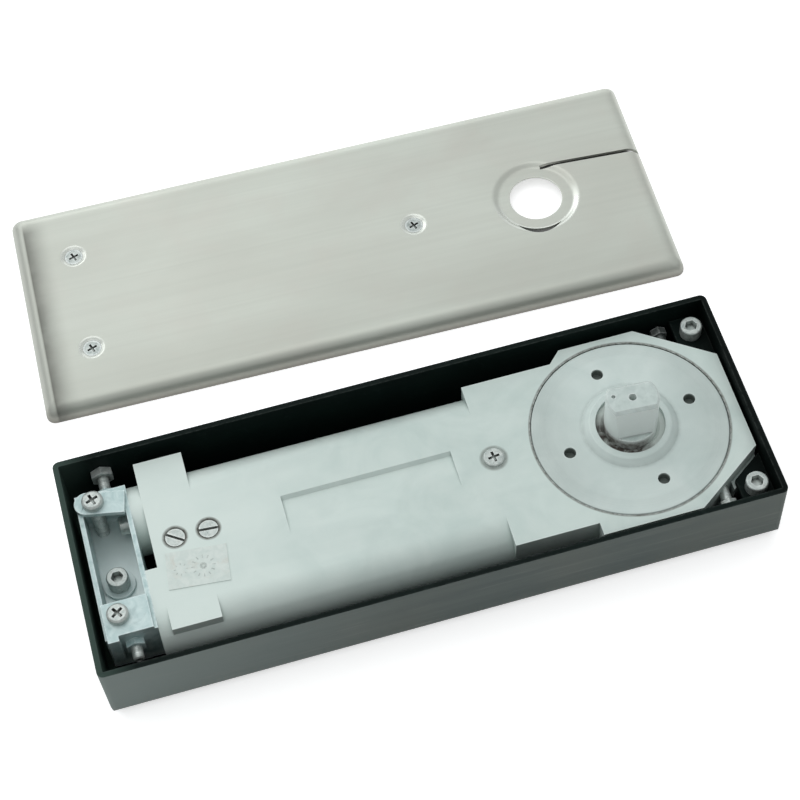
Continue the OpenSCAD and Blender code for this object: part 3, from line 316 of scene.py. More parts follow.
def box_paint():
    """Black dip paint; the outside walls are painted grey, a painted reflection of light on the paint's
    sheen, with long smears.
    """
    f = Finish("box_black_paint", Specular_IOR_Level=0.08)
    w = f.w
    x, y, z = w.parts(f.where)
    ends = w.math("MAXIMUM", w.math("SUBTRACT", x, WALL_RIGHT), w.math("SUBTRACT", WALL_LEFT, x))
    sides = w.math("SUBTRACT", w.math("ABSOLUTE", y), WALL_SIDE)
    outside = w.math("MULTIPLY", w.span(w.math("MAXIMUM", ends, sides), -0.0002, 0.0006),
                     w.span(w.upward(), 0.75, 0.3))
    smear = w.noise(w.stretch(f.where, (7, 7, 90)), 1.0, 5.0, 0.55, 0.3)
    cloud = w.noise(f.where, 16.0, 3.0, 0.5)
    scuff = w.noise(w.stretch(f.where, (26, 26, 520)), 1.0, 3.0, 0.6)
    # The outside grey is a painted reflection on the black paint; it is paler towards the left end and
    # at the foot.
    grey = w.mix(w.span(smear, 0.3, 0.7), rgb(84, 94, 92), rgb(104, 112, 109))
    grey = w.mix(w.span(cloud, 0.4, 0.75, 0.0, 0.5), grey, rgb(112, 115, 108))
    grey = w.mix(w.span(x, -0.12, -0.24, 0.0, 0.75), grey, rgb(134, 145, 142))
    grey = w.mix(w.span(scuff, 0.56, 0.74, 0.0, 0.28), grey, rgb(140, 142, 138))
    foot = w.span(z, 0.010, 0.001, 0.0, 0.35)
    grey = w.mix(foot, grey, rgb(128, 130, 124))
    black = w.mix(w.noise(f.where, 60.0, 4.0), rgb(6, 15, 13), rgb(14, 27, 24))
    black = w.mix(w.span(x, -0.235, -0.252), black, rgb(60, 76, 70))
    # Darker at the right end of the inside: painted shade.
    black = w.mix(w.span(x, 0.040, 0.052, 0.0, 0.7), black, rgb(2, 6, 5))
    specks = w.span(w.noise(f.where, 240.0, 5.0, 0.6, 0.6), 0.6, 0.75, 0.0, 0.4)
    black = w.mix(specks, black, rgb(36, 46, 43))
    bare = f.group(WEAR_AND_SHADE, Amount=0.32, Breakup=420.0)["Bare"]
    f.feed("Base Color", w.mix(bare, w.mix(outside, black, grey), rgb(88, 95, 92)))
    f.feed("Roughness", w.span(smear, 0.3, 0.7, 0.52, 0.7))
    f.bump(w.noise(f.where, 700.0, 2.0), 0.08, 0.0002)
    return f.material


def sprayed_casting():
    """Pale silver paint over a sand casting, with painted shade low down."""
    f = Finish("sprayed_casting", Metallic=0.12, Specular_IOR_Level=0.35)
    w = f.w
    x, _, z = w.parts(f.where)
    skin = f.group(SKIN, Sand=1900.0, Wave=140.0)
    dust = f.group(DUST, Amount=0.35, Patch=60.0)["Dust"]
    wear_and_shade = f.group(WEAR_AND_SHADE, Amount=0.6, Breakup=700.0)
    colour = w.mix(w.span(skin["Cloud"], 0.3, 0.7), rgb(188, 203, 198), rgb(203, 216, 211))
    drag = w.noise(w.stretch(f.where, (11, 70, 70)), 1.0, 4.0, 0.55, 0.5)
    colour = w.mix(w.span(drag, 0.5, 0.75, 0.0, 0.35), colour, rgb(178, 194, 190))
    colour = w.mix(dust, colour, rgb(211, 220, 215))
    colour = w.mix(w.span(x, -0.12, -0.20, 0.0, 0.55), colour, rgb(218, 229, 224))
    # Darker low down: painted shade on the lower flanks of the body.
    low = w.span(z, 0.026, 0.009, 0.0, 0.55)
    colour = w.mix(low, colour, rgb(128, 146, 141))
    # Inner corners darker: grime and painted shade.
    colour = w.mix(w.math("MULTIPLY", wear_and_shade["Corner"], 0.45), colour, rgb(120, 134, 130))
    stained = 0.0
    for across, along, radius, width, amount in GRIMED_RIMS:
        ring = f.group(RING, Axis_X=across, Axis_Y=along, Radius=radius, Width=width,
                       Amount=amount, Least=0.7)["Grime"]
        stained = w.math("MAXIMUM", ring, stained)
    colour = w.mix(w.math("MULTIPLY", stained, w.span(z, 0.0300, 0.0325)), colour, rgb(78, 76, 68))
    f.feed("Base Color", w.mix(wear_and_shade["Bare"], colour, rgb(226, 233, 230)))
    f.feed("Roughness", w.span(skin["Cloud"], 0.3, 0.7, 0.46, 0.6))
    f.bump(skin["Height"], 0.12, 0.0002)
    return f.material


def turned_cap():
    """Sprayed silver over turned rings round the spindle, with grime round the boss and painted shade in
    the spanner holes.
    """
    f = Finish("turned_cap", Metallic=0.15, Specular_IOR_Level=0.4)
    w = f.w
    radius = w.far_from(f.where, 0.0, 0.0)
    x, _, z = w.parts(f.where)
    rings = w.node("ShaderNodeCombineXYZ")
    w.join(w.math("MULTIPLY", radius, 2200.0), rings.inputs[0])
    w.join(w.math("MULTIPLY", z, 600.0), rings.inputs[1])
    turned = w.noise(rings.outputs[0], 1.0, 3.0, 0.6)
    skin = f.group(SKIN, Sand=2000.0, Wave=110.0)
    dust = f.group(DUST, Amount=0.3, Patch=50.0)["Dust"]
    wear_and_shade = f.group(WEAR_AND_SHADE, Amount=0.6, Breakup=900.0)
    colour = w.mix(w.span(skin["Cloud"], 0.3, 0.7), rgb(190, 204, 200), rgb(204, 216, 212))
    colour = w.mix(w.math("MULTIPLY", turned, 0.16), colour, rgb(150, 164, 160))
    across = w.math("ABSOLUTE", x)
    colour = w.mix(w.span(across, 0.016, 0.036, 0.0, 0.42), colour, rgb(158, 168, 164))
    colour = w.mix(dust, colour, rgb(212, 221, 217))
    boss = f.group(RING, Radius=0.0150, Width=0.0012, Amount=0.2)["Grime"]
    rim = f.group(RING, Radius=0.0215, Width=0.0016, Amount=0.16)["Grime"]
    edge = f.group(RING, Radius=CAP_JOINT, Width=0.0009, Amount=1.0, Least=1.0)["Grime"]
    dirt = w.math("MAXIMUM", w.math("MAXIMUM", boss, rim), edge)
    colour = w.mix(dirt, colour, rgb(78, 88, 84))
    # Painted shade inside the spanner holes.
    from_holes = w.math("ABSOLUTE", w.math("SUBTRACT", radius, PIN_HOLES_AT))
    hole_shade = w.math("MULTIPLY", w.span(from_holes, 0.0034, 0.0028), w.span(z, 0.0349, 0.0338))
    colour = w.mix(w.math("MULTIPLY", hole_shade, 0.85), colour, rgb(84, 92, 86))
    # Inner corners darker: grime and painted shade.
    colour = w.mix(w.math("MULTIPLY", wear_and_shade["Corner"], 0.35), colour, rgb(96, 108, 106))
    f.feed("Base Color", w.mix(wear_and_shade["Bare"], colour, rgb(228, 235, 232)))
    f.feed("Roughness", w.span(turned, 0.3, 0.7, 0.4, 0.54))
    f.bump(w.math("MULTIPLY_ADD", turned, 0.6, skin["Height"]), 0.12, 0.0002)
    return f.material


def zinc_sheet():
    """Blue-grey zinc plate on folded sheet, with drawn streaks, dark stains and bright bends, and
    painted light low down on the channel floor.
    """
    f = Finish("zinc_sheet", Metallic=0.25)
    w = f.w
    grain = f.group(GRAIN, Along=(700, 50, 700), Strength=0.6)
    wear_and_shade = f.group(WEAR_AND_SHADE, Amount=0.9, Breakup=900.0)
    cloud = w.noise(f.where, 170.0, 4.0, 0.6, 0.8)
    stain = w.noise(f.where, 95.0, 5.0, 0.62, 1.0)
    colour = w.mix(w.span(cloud, 0.35, 0.65), rgb(158, 184, 184), rgb(194, 212, 211))
    colour = w.mix(w.span(grain["Broad"], 0.4, 0.7, 0.0, 0.4), colour, rgb(208, 222, 221))
    colour = w.mix(w.span(stain, 0.54, 0.72, 0.0, 0.4), colour, rgb(110, 136, 137))
    _, _, z = w.parts(f.where)
    # Lighter low down: painted light on the channel floor and its lower bends.
    colour = w.mix(w.span(z, 0.014, 0.0105, 0.0, 0.85), colour, rgb(232, 244, 243))
    # Inner corners darker: grime and painted shade.
    colour = w.mix(w.math("MULTIPLY", wear_and_shade["Corner"], 0.2), colour, rgb(74, 94, 94))
    f.feed("Base Color", w.mix(wear_and_shade["Bare"], colour, rgb(234, 242, 241)))
    f.feed("Roughness", w.span(grain["Streak"], 0.2, 0.8, 0.32, 0.5))
    f.bump(grain["Streak"], 0.12, 0.00015)
    return f.material


def zinc_screw():
    """Bright zinc plated screws with grime and painted shade in their recesses, and painted shade on the
    back side screw of the head.
    """
    f = Finish("zinc_screw", Metallic=0.55)
    w = f.w
    cloud = w.noise(f.where, 420.0, 4.0, 0.6, 0.5)
    wear_and_shade = f.group(WEAR_AND_SHADE, Amount=0.7, Breakup=1800.0)
    colour = w.mix(w.span(cloud, 0.35, 0.65), rgb(160, 170, 167), rgb(196, 203, 199))
    dulled = w.span(w.noise(f.where, 900.0, 3.0), 0.55, 0.72, 0.0, 0.5)
    colour = w.mix(dulled, colour, rgb(128, 124, 116))
    # Inner corners darker: grime and painted shade.
    colour = w.mix(wear_and_shade["Corner"], colour, rgb(50, 50, 46))
    # Painted shade on the back side screw of the head, where it stands in the gap by the box wall.
    x, y, _ = w.parts(f.where)
    from_screw = w.math("ABSOLUTE", w.math("SUBTRACT", x, HEAD_SIDE_SCREW_AT))
    sunk = w.math("MULTIPLY", w.span(from_screw, 0.0065, 0.0050), w.span(y, 0.030, 0.034))
    colour = w.mix(w.math("MULTIPLY", sunk, 0.8), colour, rgb(34, 40, 38))
    f.feed("Base Color", w.mix(wear_and_shade["Bare"], colour, rgb(238, 242, 240)))
    f.feed("Roughness", w.span(cloud, 0.3, 0.7, 0.26, 0.42))
    f.bump(w.noise(f.where, 1800.0, 2.0), 0.08, 0.0001)
    return f.material


def ground_steel():
    """Ground spindle steel: grinding marks round it, painted light on its sides, and painted shade low
    down on the front-left side of its foot.
    """
    f = Finish("ground_steel", Metallic=0.15)
    w = f.w
    x, y, z = w.parts(f.where)
    grain = f.group(GRAIN, Along=(260, 260, 4200), Strength=0.7)
    cloud = w.noise(f.where, 240.0, 4.0, 0.6, 0.6)
    wear_and_shade = f.group(WEAR_AND_SHADE, Amount=0.8, Breakup=1300.0)
    colour = w.mix(w.span(cloud, 0.35, 0.7), rgb(180, 193, 189), rgb(197, 209, 205))
    # Lighter on the sides than on top: painted light.
    colour = w.mix(w.span(w.upward(), 0.8, 0.3, 0.0, 0.85), colour, rgb(236, 243, 240))
    # Darker low down on the front-left side of the foot: painted shade.
    broken = w.span(w.noise(f.where, 330.0, 4.0), 0.35, 0.6, 0.4, 0.9)
    grime = w.math("MULTIPLY", w.span(z, 0.0410, 0.0385), broken)
    grime = w.math("MULTIPLY", grime, w.span(w.math("MULTIPLY_ADD", y, 0.7, x), 0.002, -0.006))
    colour = w.mix(grime, colour, rgb(84, 78, 70))
    # Inner corners darker: grime and painted shade.
    colour = w.mix(w.math("MULTIPLY", wear_and_shade["Corner"], 0.5), colour, rgb(70, 76, 74))
    f.feed("Base Color", w.mix(wear_and_shade["Bare"], colour, rgb(236, 241, 239)))
    f.feed("Roughness", w.span(grain["Streak"], 0.2, 0.8, 0.3, 0.46))
    f.bump(grain["Streak"], 0.1, 0.00012)
    return f.material


def oiled_steel():
    """Hardened inner parts, dark with oil."""
    f = Finish("oiled_steel", Metallic=0.9, Coat_Weight=0.3, Coat_Roughness=0.1)
    w = f.w
    cloud = w.noise(f.where, 260.0, 4.0, 0.6, 0.7)
    bare = f.group(WEAR_AND_SHADE, Amount=0.6, Breakup=1200.0)["Bare"]
    colour = w.mix(cloud, rgb(92, 96, 98), rgb(142, 146, 148))
    f.feed("Base Color", w.mix(bare, colour, rgb(190, 194, 196)))
    f.feed("Roughness", w.span(cloud, 0.3, 0.7, 0.22, 0.42))
    f.bump(w.noise(f.where, 2200.0, 2.0), 0.12, 0.0001)
    return f.material


def seal_rubber():
    """Seal rubber, greyed by dust, with painted shade, brown and dark, on its front-left side."""
    f = Finish("seal_rubber")
    w = f.w
    cloud = w.noise(f.where, 500.0, 4.0, 0.6)
    x, y, _ = w.parts(f.where)
    # Painted shade on the front-left side, brown and dark.
    front_left = w.span(w.math("MULTIPLY_ADD", y, 0.9, x), -0.0030, -0.0110)
    broken = w.span(w.noise(f.where, 260.0, 4.0, 0.6, 0.6), 0.3, 0.55, 0.4, 1.0)
    shaded_side = w.math("MULTIPLY", front_left, broken)
    colour = w.mix(cloud, rgb(176, 186, 180), rgb(200, 209, 204))
    f.feed("Base Color", w.mix(shaded_side, colour, rgb(48, 40, 34)))
    f.feed("Roughness", w.span(cloud, 0.3, 0.7, 0.45, 0.7))
    f.bump(w.noise(f.where, 3000.0, 2.0), 0.2, 0.0001)
    return f.material


def brushed_stainless():
    """Warm grey stainless, brushed along the plate, with cloudy marks, painted shade towards the front
    and left edges and on the rolled edges, and painted highlights on the slopes of the dish and dimples.
    """
    f = Finish("brushed_stainless", Metallic=0.65)
    w = f.w
    along = w.stretch(f.where, (1, 1, 1), COVER_SHIFT, -COVER_TURN)
    from_left, from_front, z = w.parts(along)
    grain = f.group(GRAIN, Along=(22, 2600, 2600), Strength=0.5)
    w.join(along, grain["Streak"].node.inputs["Position"])
    cloud = w.noise(w.stretch(along, (10, 24, 24)), 1.0, 4.0, 0.5, 0.5)
    wear_and_shade = f.group(WEAR_AND_SHADE, Amount=0.5, Breakup=700.0)
    colour = w.mix(w.span(cloud, 0.32, 0.7), rgb(192, 195, 186), rgb(202, 207, 198))
    colour = w.mix(w.span(grain["Broad"], 0.4, 0.75, 0.0, 0.3), colour, rgb(182, 186, 177))
    colour = w.mix(w.span(w.noise(f.where, 34.0, 3.0), 0.5, 0.75, 0.0, 0.3), colour, rgb(194, 190, 182))
    # Painted shade: darker towards the front edge and towards the left edge, most on the left roll.
    colour = w.mix(w.span(from_front, 0.050, 0.004, 0.0, 0.30), colour, rgb(156, 158, 149))
    colour = w.mix(w.span(from_left, 0.070, 0.010, 0.0, 0.35), colour, rgb(176, 180, 172))
    colour = w.mix(w.span(from_left, 0.0066, 0.0045, 0.0, 0.5), colour, rgb(156, 159, 152))
    # Painted shade on the front roll, darkest low down.
    front = w.math("MULTIPLY", w.span(from_front, 0.0085, 0.0045), w.span(z, 0.0062, 0.0004))
    colour = w.mix(w.math("MULTIPLY", front, 0.78), colour, rgb(104, 97, 89))
    # Painted shade: a soft dark line just inside the left roll.
    left_shade_line = w.math("MULTIPLY", w.span(from_left, 0.0046, 0.0060), w.span(from_left, 0.0190, 0.0060))
    left_shade_line = w.math("MULTIPLY", left_shade_line, w.span(from_front, 0.1190, 0.1080))
    broken = w.span(w.noise(along, 90.0, 2.0), 0.2, 0.6, 0.75, 0.95)
    left_shade_line = w.math("MULTIPLY", w.math("POWER", left_shade_line, 1.7), broken)
    colour = w.mix(left_shade_line, colour, rgb(96, 97, 91))
    # Inner corners darker: grime and painted shade.
    colour = w.mix(w.math("MULTIPLY", wear_and_shade["Corner"], 0.7), colour, rgb(92, 92, 86))
    x, y = (value * MM for value in COVER_HOLE)
    near = w.span(w.far_from(along, x, y), 0.0245, 0.0232)
    near = w.math("MULTIPLY", near, w.span(from_front, y + 0.004, y - 0.005))
    for x, y in COVER_SCREWS:
        near = w.math("MAXIMUM", near, w.span(w.far_from(along, x * MM, y * MM), 0.0085, 0.0075))
    # Painted highlight: lighter colour on the front slopes of the dish and on the slopes of the screw
    # dimples.
    pressed = w.math("MULTIPLY", near, w.span(w.upward(), 0.998, 0.975))
    colour = w.mix(w.math("MULTIPLY", pressed, 0.5), colour, rgb(226, 230, 224))
    f.feed("Base Color", w.mix(wear_and_shade["Bare"], colour, rgb(216, 218, 212)))
    rough = w.span(grain["Streak"], 0.2, 0.8, 0.34, 0.48)
    f.feed("Roughness", w.math("SUBTRACT", rough, w.math("MULTIPLY", pressed, 0.14)))
    f.bump(grain["Streak"], 0.06, 0.0001)
    return f.material


def label_foil():
    """Thin pale foil of the setting label, a little browned and rubbed."""
    f = Finish("label_foil", Metallic=0.1, Specular_IOR_Level=0.4)
    w = f.w
    cloud = w.noise(f.where, 260.0, 4.0, 0.6, 0.5)
    brown = w.span(w.noise(f.where, 120.0, 4.0, 0.6, 0.9), 0.52, 0.7, 0.0, 0.6)
    colour = w.mix(w.span(cloud, 0.35, 0.65), rgb(196, 208, 203), rgb(210, 219, 214))
    f.feed("Base Color", w.mix(brown, colour, rgb(196, 196, 186)))
    f.feed("Roughness", w.span(cloud, 0.3, 0.7, 0.38, 0.55))
    f.bump(w.noise(f.where, 700.0, 3.0), 0.1, 0.0001)
    return f.material


def dial_ink():
    """Faded grey ink of the dial ticks."""
    f = Finish("dial_ink", Specular_IOR_Level=0.3)
    w = f.w
    faded = w.noise(f.where, 520.0, 4.0, 0.65, 0.6)
    f.feed("Base Color", w.mix(w.span(faded, 0.35, 0.65), rgb(158, 168, 163), rgb(194, 203, 198)))
    f.feed("Roughness", w.span(faded, 0.3, 0.7, 0.45, 0.62))
    f.bump(w.noise(f.where, 1600.0, 2.0), 0.1, 0.00005)
    return f.material


FINISHES = {
    "box_black": box_paint(), "cast_silver": sprayed_casting(), "cap_silver": turned_cap(),
    "zinc_plate": zinc_sheet(), "zinc_screw": zinc_screw(), "bright_steel": ground_steel(),
    "dark_steel": oiled_steel(), "seal_rubber": seal_rubber(), "stainless": brushed_stainless(),
    "label_foil": label_foil(),
}
INK = dial_ink()


# Pieces

def coat(mesh, slot):
    """Gives a mesh the finish of a slot, and no other."""
    mesh.materials.clear()
    mesh.materials.append(FINISHES[slot])


def linked(name, data):
    """A new object in the scene, at the origin."""
    made = bpy.data.objects.new(name, data)
    bpy.context.scene.collection.objects.link(made)
    return made


def keep_sharp(mesh, angle):
    """Smooth shading, with edges that bend by more than the angle kept sharp."""
    shell = bmesh.new()
    shell.from_mesh(mesh)
    for face in shell.faces:
        face.smooth = True
    for edge in shell.edges:
        edge.smooth = len(edge.link_faces) == 2 and edge.calc_face_angle(0) < math.radians(angle)
    shell.to_mesh(mesh)
    shell.free()


def even_shading(mesh, angle):
    """The mesh with each corner's normal turned to its largest faces, so that flats shade flat."""
    keep_sharp(mesh, angle)
    piece = linked("even", mesh)
    weigh = piece.modifiers.new("weigh", "WEIGHTED_NORMAL")
    weigh.mode = "FACE_AREA_WITH_ANGLE"
    weigh.weight = 60
    weigh.keep_sharp = True
    even = baked_mesh(piece)
    bpy.data.objects.remove(piece)
    return even


def place_piece(name, mesh, body, slot, *nodes):
    """An object at the origin for a finished mesh, riding on its body."""
    mesh.name = name
    piece = linked(name, mesh)
    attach(piece, body)
    if nodes:
        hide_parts(*nodes)
    return piece


def baked_mesh(piece):
    """The plain mesh that an object's modifiers give."""
    mesh = bpy.data.meshes.new_from_object(piece.evaluated_get(bpy.context.evaluated_depsgraph_get()))
    piece.modifiers.clear()
    return mesh


def merged_copy(node, flat=0.4):
    """A copy of a CAD node's mesh with its doubles merged and its flat faces whole."""
    mesh = NODES[node].data.copy()
    shell = bmesh.new()
    shell.from_mesh(mesh)
    bmesh.ops.remove_doubles(shell, verts=shell.verts, dist=0.000004)
    bmesh.ops.dissolve_limit(shell, angle_limit=math.radians(flat), verts=shell.verts,
                             edges=shell.edges)
    shell.to_mesh(mesh)
    shell.free()
    return mesh


def eased_copy(node, width, drop=0.0):
    """A copy of a CAD node with its sharp edges eased, in the node's place."""
    mesh = merged_copy(node)
    if drop:
        mesh.transform(Matrix.Translation((0, 0, -drop)))
    piece = linked(node + "_eased", mesh)
    ease = piece.modifiers.new("ease", "BEVEL")
    ease.width = width
    ease.segments = 2
    ease.limit_method = "ANGLE"
    ease.angle_limit = math.radians(35)
    ease.use_clamp_overlap = True
    ease.miter_outer = "MITER_ARC"
    plain = baked_mesh(piece)
    bpy.data.objects.remove(piece)
    coat(plain, SLOT_OF[node])
    place_piece(node + "_eased", even_shading(plain, 40), BODY_OF[node], SLOT_OF[node], node)


# Cover plate: a pressed sheet with a rolled rim, a dish, three screw dimples, a slit and a crescent

def rim_loop(shell, inset, corner, z):
    """One closed loop of points: the plate's outline, moved in and with rounded corners."""
    loop, steps = [], 8
    for cx, cy, start in ((1, 1, 0), (0, 1, 90), (0, 0, 180), (1, 0, 270)):
        x = COVER_L - inset - corner if cx else inset + corner
        y = COVER_W - inset - corner if cy else inset + corner
        for k in range(steps + 1):
            turn = math.radians(start + 90 * k / steps)
            loop.append(shell.verts.new((x + corner * math.cos(turn), y + corner * math.sin(turn), z)))
    return loop


def round_loop(shell, centre, radius, z, count):
    """One closed loop of points round an upright axis."""
    x, y = centre
    turns = (2 * math.pi * k / count for k in range(count))
    return [shell.verts.new((x + radius * math.cos(turn), y + radius * math.sin(turn), z))
            for turn in turns]


def bridge(shell, first, second):
    """A band of faces between two loops."""
    for k in range(len(first)):
        n = (k + 1) % len(first)
        shell.faces.new((first[k], first[n], second[n], second[k]))


def loop_edges(shell, loop):
    """The edges of a loop, made where they are missing."""
    found = []
    for k in range(len(loop)):
        pair = (loop[k], loop[(k + 1) % len(loop)])
        found.append(shell.edges.get(pair) or shell.edges.new(pair))
    return found


def cutter(name, outline, z0, z1):
    """An upright prism over an outline, to cut the plate with."""
    shell = bmesh.new()
    low = [shell.verts.new((x, y, z0)) for x, y in outline]
    high = [shell.verts.new((x, y, z1)) for x, y in outline]
    shell.faces.new(list(reversed(low)))
    shell.faces.new(high)
    bridge(shell, low, high)
    bmesh.ops.recalc_face_normals(shell, faces=shell.faces)
    mesh = bpy.data.meshes.new(name)
    shell.to_mesh(mesh)
    shell.free()
    return linked(name, mesh)


def turned(points, centre, degrees):
    """Points given from a centre, turned about it."""
    turn = math.radians(degrees)
    return [(centre[0] + x * math.cos(turn) - y * math.sin(turn),
             centre[1] + x * math.sin(turn) + y * math.cos(turn)) for x, y in points]


def slit_outline():
    """The slit from the dish to past the plate's right edge."""
    start = (COVER_HOLE[0] + 7, COVER_HOLE[1] + 17.4)
    length, half = 70, 1.0
    return turned([(0, -half), (length, -half), (length, half), (0, half)], start, -3.4)


def crescent_outline():
    """A moon between the dish's inner radius and a larger arc that runs out at both ends."""
    inner, thick, half = 19.0, 3.3, math.radians(34)
    outer = inner + thick
    shift = (outer * outer - inner * inner) / 2 / (outer - inner * math.cos(half))
    points = [(inner * math.sin(a), -inner * math.cos(a)) for a in
              (half * (k / 12 - 1) for k in range(25))]
    wide = math.atan2(inner * math.sin(half), inner * math.cos(half) - shift)
    points += [((outer - shift) * math.sin(a), -shift - (outer - shift) * math.cos(a)) for a in
               (wide * (1 - k / 12) for k in range(1, 24))]
    return turned(points, COVER_HOLE, -9)


def pressed_cover():
    """The cover plate, drawn ring by ring as it is pressed, then cut."""
    shell = bmesh.new()
    last = rim_loop(shell, 0, COVER_CORNER, 0.0)
    rounds, dimple_points, dish_points = 12, 40, 96
    for k in range(rounds + 1):
        turn = math.radians(90 * k / rounds)
        inset = COVER_ROLL * (1 - math.cos(turn))
        corner = COVER_CORNER - 1.5 * inset / COVER_ROLL
        ring = rim_loop(shell, inset, corner, COVER_H - COVER_ROLL + COVER_ROLL * math.sin(turn))
        bridge(shell, last, ring)
        last = ring
    ring = rim_loop(shell, COVER_ROLL + 0.6, 2.9, COVER_H)
    bridge(shell, last, ring)
    borders = loop_edges(shell, ring)
    for centre in COVER_SCREWS:
        rings = [round_loop(shell, centre, r, COVER_H - deep, dimple_points) for r, deep in DIMPLE]
        for a, b in zip(rings, rings[1:]):
            bridge(shell, a, b)
        borders += loop_edges(shell, rings[0])
    rings = [round_loop(shell, COVER_HOLE, r, COVER_H - deep, dish_points) for r, deep in DISH]
    for a, b in zip(rings, rings[1:]):
        bridge(shell, a, b)
    borders += loop_edges(shell, rings[0])
    bmesh.ops.triangle_fill(shell, edges=borders, use_beauty=True, normal=(0, 0, 1))
    bmesh.ops.recalc_face_normals(shell, faces=shell.faces)
    top = max(shell.faces, key=lambda face: face.calc_area())
    if top.normal.z < 0:
        bmesh.ops.reverse_faces(shell, faces=shell.faces)
    mesh = bpy.data.meshes.new("cover_sheet")
    shell.to_mesh(mesh)
    shell.free()
    piece = linked("cover_sheet", mesh)
    wall = piece.modifiers.new("wall", "SOLIDIFY")
    wall.thickness = SHEET
    wall.offset = -1
    below, above = -2, COVER_H + 4
    tools = [cutter("slit_tool", slit_outline(), below, above),
             cutter("crescent_tool", crescent_outline(), below, above)]
    for tool in tools:
        cut = piece.modifiers.new("cut", "BOOLEAN")
        cut.operation = "DIFFERENCE"
        cut.solver = "EXACT"
        cut.object = tool
    ease = piece.modifiers.new("ease", "BEVEL")
    ease.width = 0.18
    ease.segments = 2
    ease.limit_method = "ANGLE"
    ease.angle_limit = math.radians(50)
    plain = baked_mesh(piece)
    for done in tools + [piece]:
        bpy.data.objects.remove(done)
    plain.transform(COVER_PLACE @ Matrix.Scale(MM, 4))
    coat(plain, "stainless")
    place_piece("pressed_cover", even_shading(plain, 32), "cover", "stainless", "cover_plate")


# Repeated forms

def node_tree(name, inputs):
    """A geometry tree with named inputs; returns its wiring, both ends and its inputs' identifiers."""
    tree = bpy.data.node_groups.new(name, "GeometryNodeTree")
    names = {}
    for label, kind, default in inputs:
        socket = tree.interface.new_socket(name=label, in_out="INPUT", socket_type=kind)
        socket.default_value = default
        names[label] = socket.identifier
    tree.interface.new_socket(name="Geometry", in_out="OUTPUT", socket_type="NodeSocketGeometry")
    w = Wiring(tree)
    return w, w.node("NodeGroupInput"), w.node("NodeGroupOutput"), names


def finish_tree(w, made, finish, out):
    """Ends a geometry tree: its copies are made real and get their material."""
    real = w.node("GeometryNodeRealizeInstances")
    w.join(made, real.inputs[0])
    paint = w.node("GeometryNodeSetMaterial")
    paint.inputs["Material"].default_value = finish
    w.join(real.outputs[0], paint.inputs[0])
    w.join(paint.outputs[0], out.inputs[0])


def grown(name, tree, names, values):
    """The plain mesh that a geometry tree gives for these values."""
    piece = linked(name, bpy.data.meshes.new(name + "_start"))
    grow = piece.modifiers.new("grow", "NODES")
    grow.node_group = tree
    for label, value in values.items():
        grow[names[label]] = value
    mesh = baked_mesh(piece)
    bpy.data.objects.remove(piece)
    return mesh


def thread_tree(finish):
    """One unbroken ridge that winds up a shank."""
    w, given, out, names = node_tree("screw_thread", [
        ("Radius", FLOAT, 0.003), ("Pitch", FLOAT, 0.001), ("Length", FLOAT, 0.01),
        ("Ridge", FLOAT, 0.0003)])
    wind = w.node("GeometryNodeCurveSpiral")
    wind.inputs["Resolution"].default_value = 28
    w.join(w.math("DIVIDE", given.outputs["Length"], given.outputs["Pitch"]), wind.inputs["Rotations"])
    w.join(given.outputs["Radius"], wind.inputs["Start Radius"])
    w.join(given.outputs["Radius"], wind.inputs["End Radius"])
    w.join(given.outputs["Length"], wind.inputs["Height"])
    crest = w.node("GeometryNodeCurvePrimitiveCircle")
    crest.inputs["Resolution"].default_value = 4
    w.join(given.outputs["Ridge"], crest.inputs["Radius"])
    sweep = w.node("GeometryNodeCurveToMesh")
    w.join(wind.outputs[0], sweep.inputs["Curve"])
    w.join(crest.outputs["Curve"], sweep.inputs["Profile Curve"])
    sweep.inputs["Fill Caps"].default_value = True
    finish_tree(w, sweep.outputs[0], finish, out)
    return w.tree, names


def tick_tree(finish):
    """Short flat bars set round a circle, all pointing at its centre."""
    w, given, out, names = node_tree("dial_ticks", [
        ("Count", "NodeSocketInt", 12), ("Radius", FLOAT, 0.005), ("Long", FLOAT, 0.0015),
        ("Wide", FLOAT, 0.0004), ("Thick", FLOAT, 0.00004), ("First", FLOAT, 0.0)])
    points = w.node("GeometryNodeMeshCircle")
    w.join(given.outputs["Count"], points.inputs["Vertices"])
    w.join(given.outputs["Radius"], points.inputs["Radius"])
    bar = w.node("GeometryNodeMeshCube")
    size = w.node("ShaderNodeCombineXYZ")
    for label, slot in (("Long", 0), ("Wide", 1), ("Thick", 2)):
        w.join(given.outputs[label], size.inputs[slot])
    w.join(size.outputs[0], bar.inputs["Size"])
    index = w.node("GeometryNodeInputIndex")
    step = w.math("DIVIDE", 2 * math.pi, given.outputs["Count"])
    turn = w.node("ShaderNodeCombineXYZ")
    w.join(w.math("MULTIPLY_ADD", index.outputs[0], step, given.outputs["First"]), turn.inputs[2])
    copies = w.node("GeometryNodeInstanceOnPoints")
    w.join(points.outputs["Mesh"], copies.inputs["Points"])
    w.join(bar.outputs["Mesh"], copies.inputs["Instance"])
    w.join(turn.outputs[0], copies.inputs["Rotation"])
    finish_tree(w, copies.outputs[0], finish, out)
    return w.tree, names


def add_spring():
    """The closing spring with round wire."""
    piece = linked("spring", merged_copy("closing_spring", 0.01))
    rounder = piece.modifiers.new("round", "SUBSURF")
    rounder.levels = rounder.render_levels = 1
    mesh = baked_mesh(piece)
    bpy.data.objects.remove(piece)
    coat(mesh, "dark_steel")
    keep_sharp(mesh, 70)
    spring = place_piece("closing_spring_wire", mesh, "closer", "dark_steel", "closing_spring")
    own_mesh(spring)


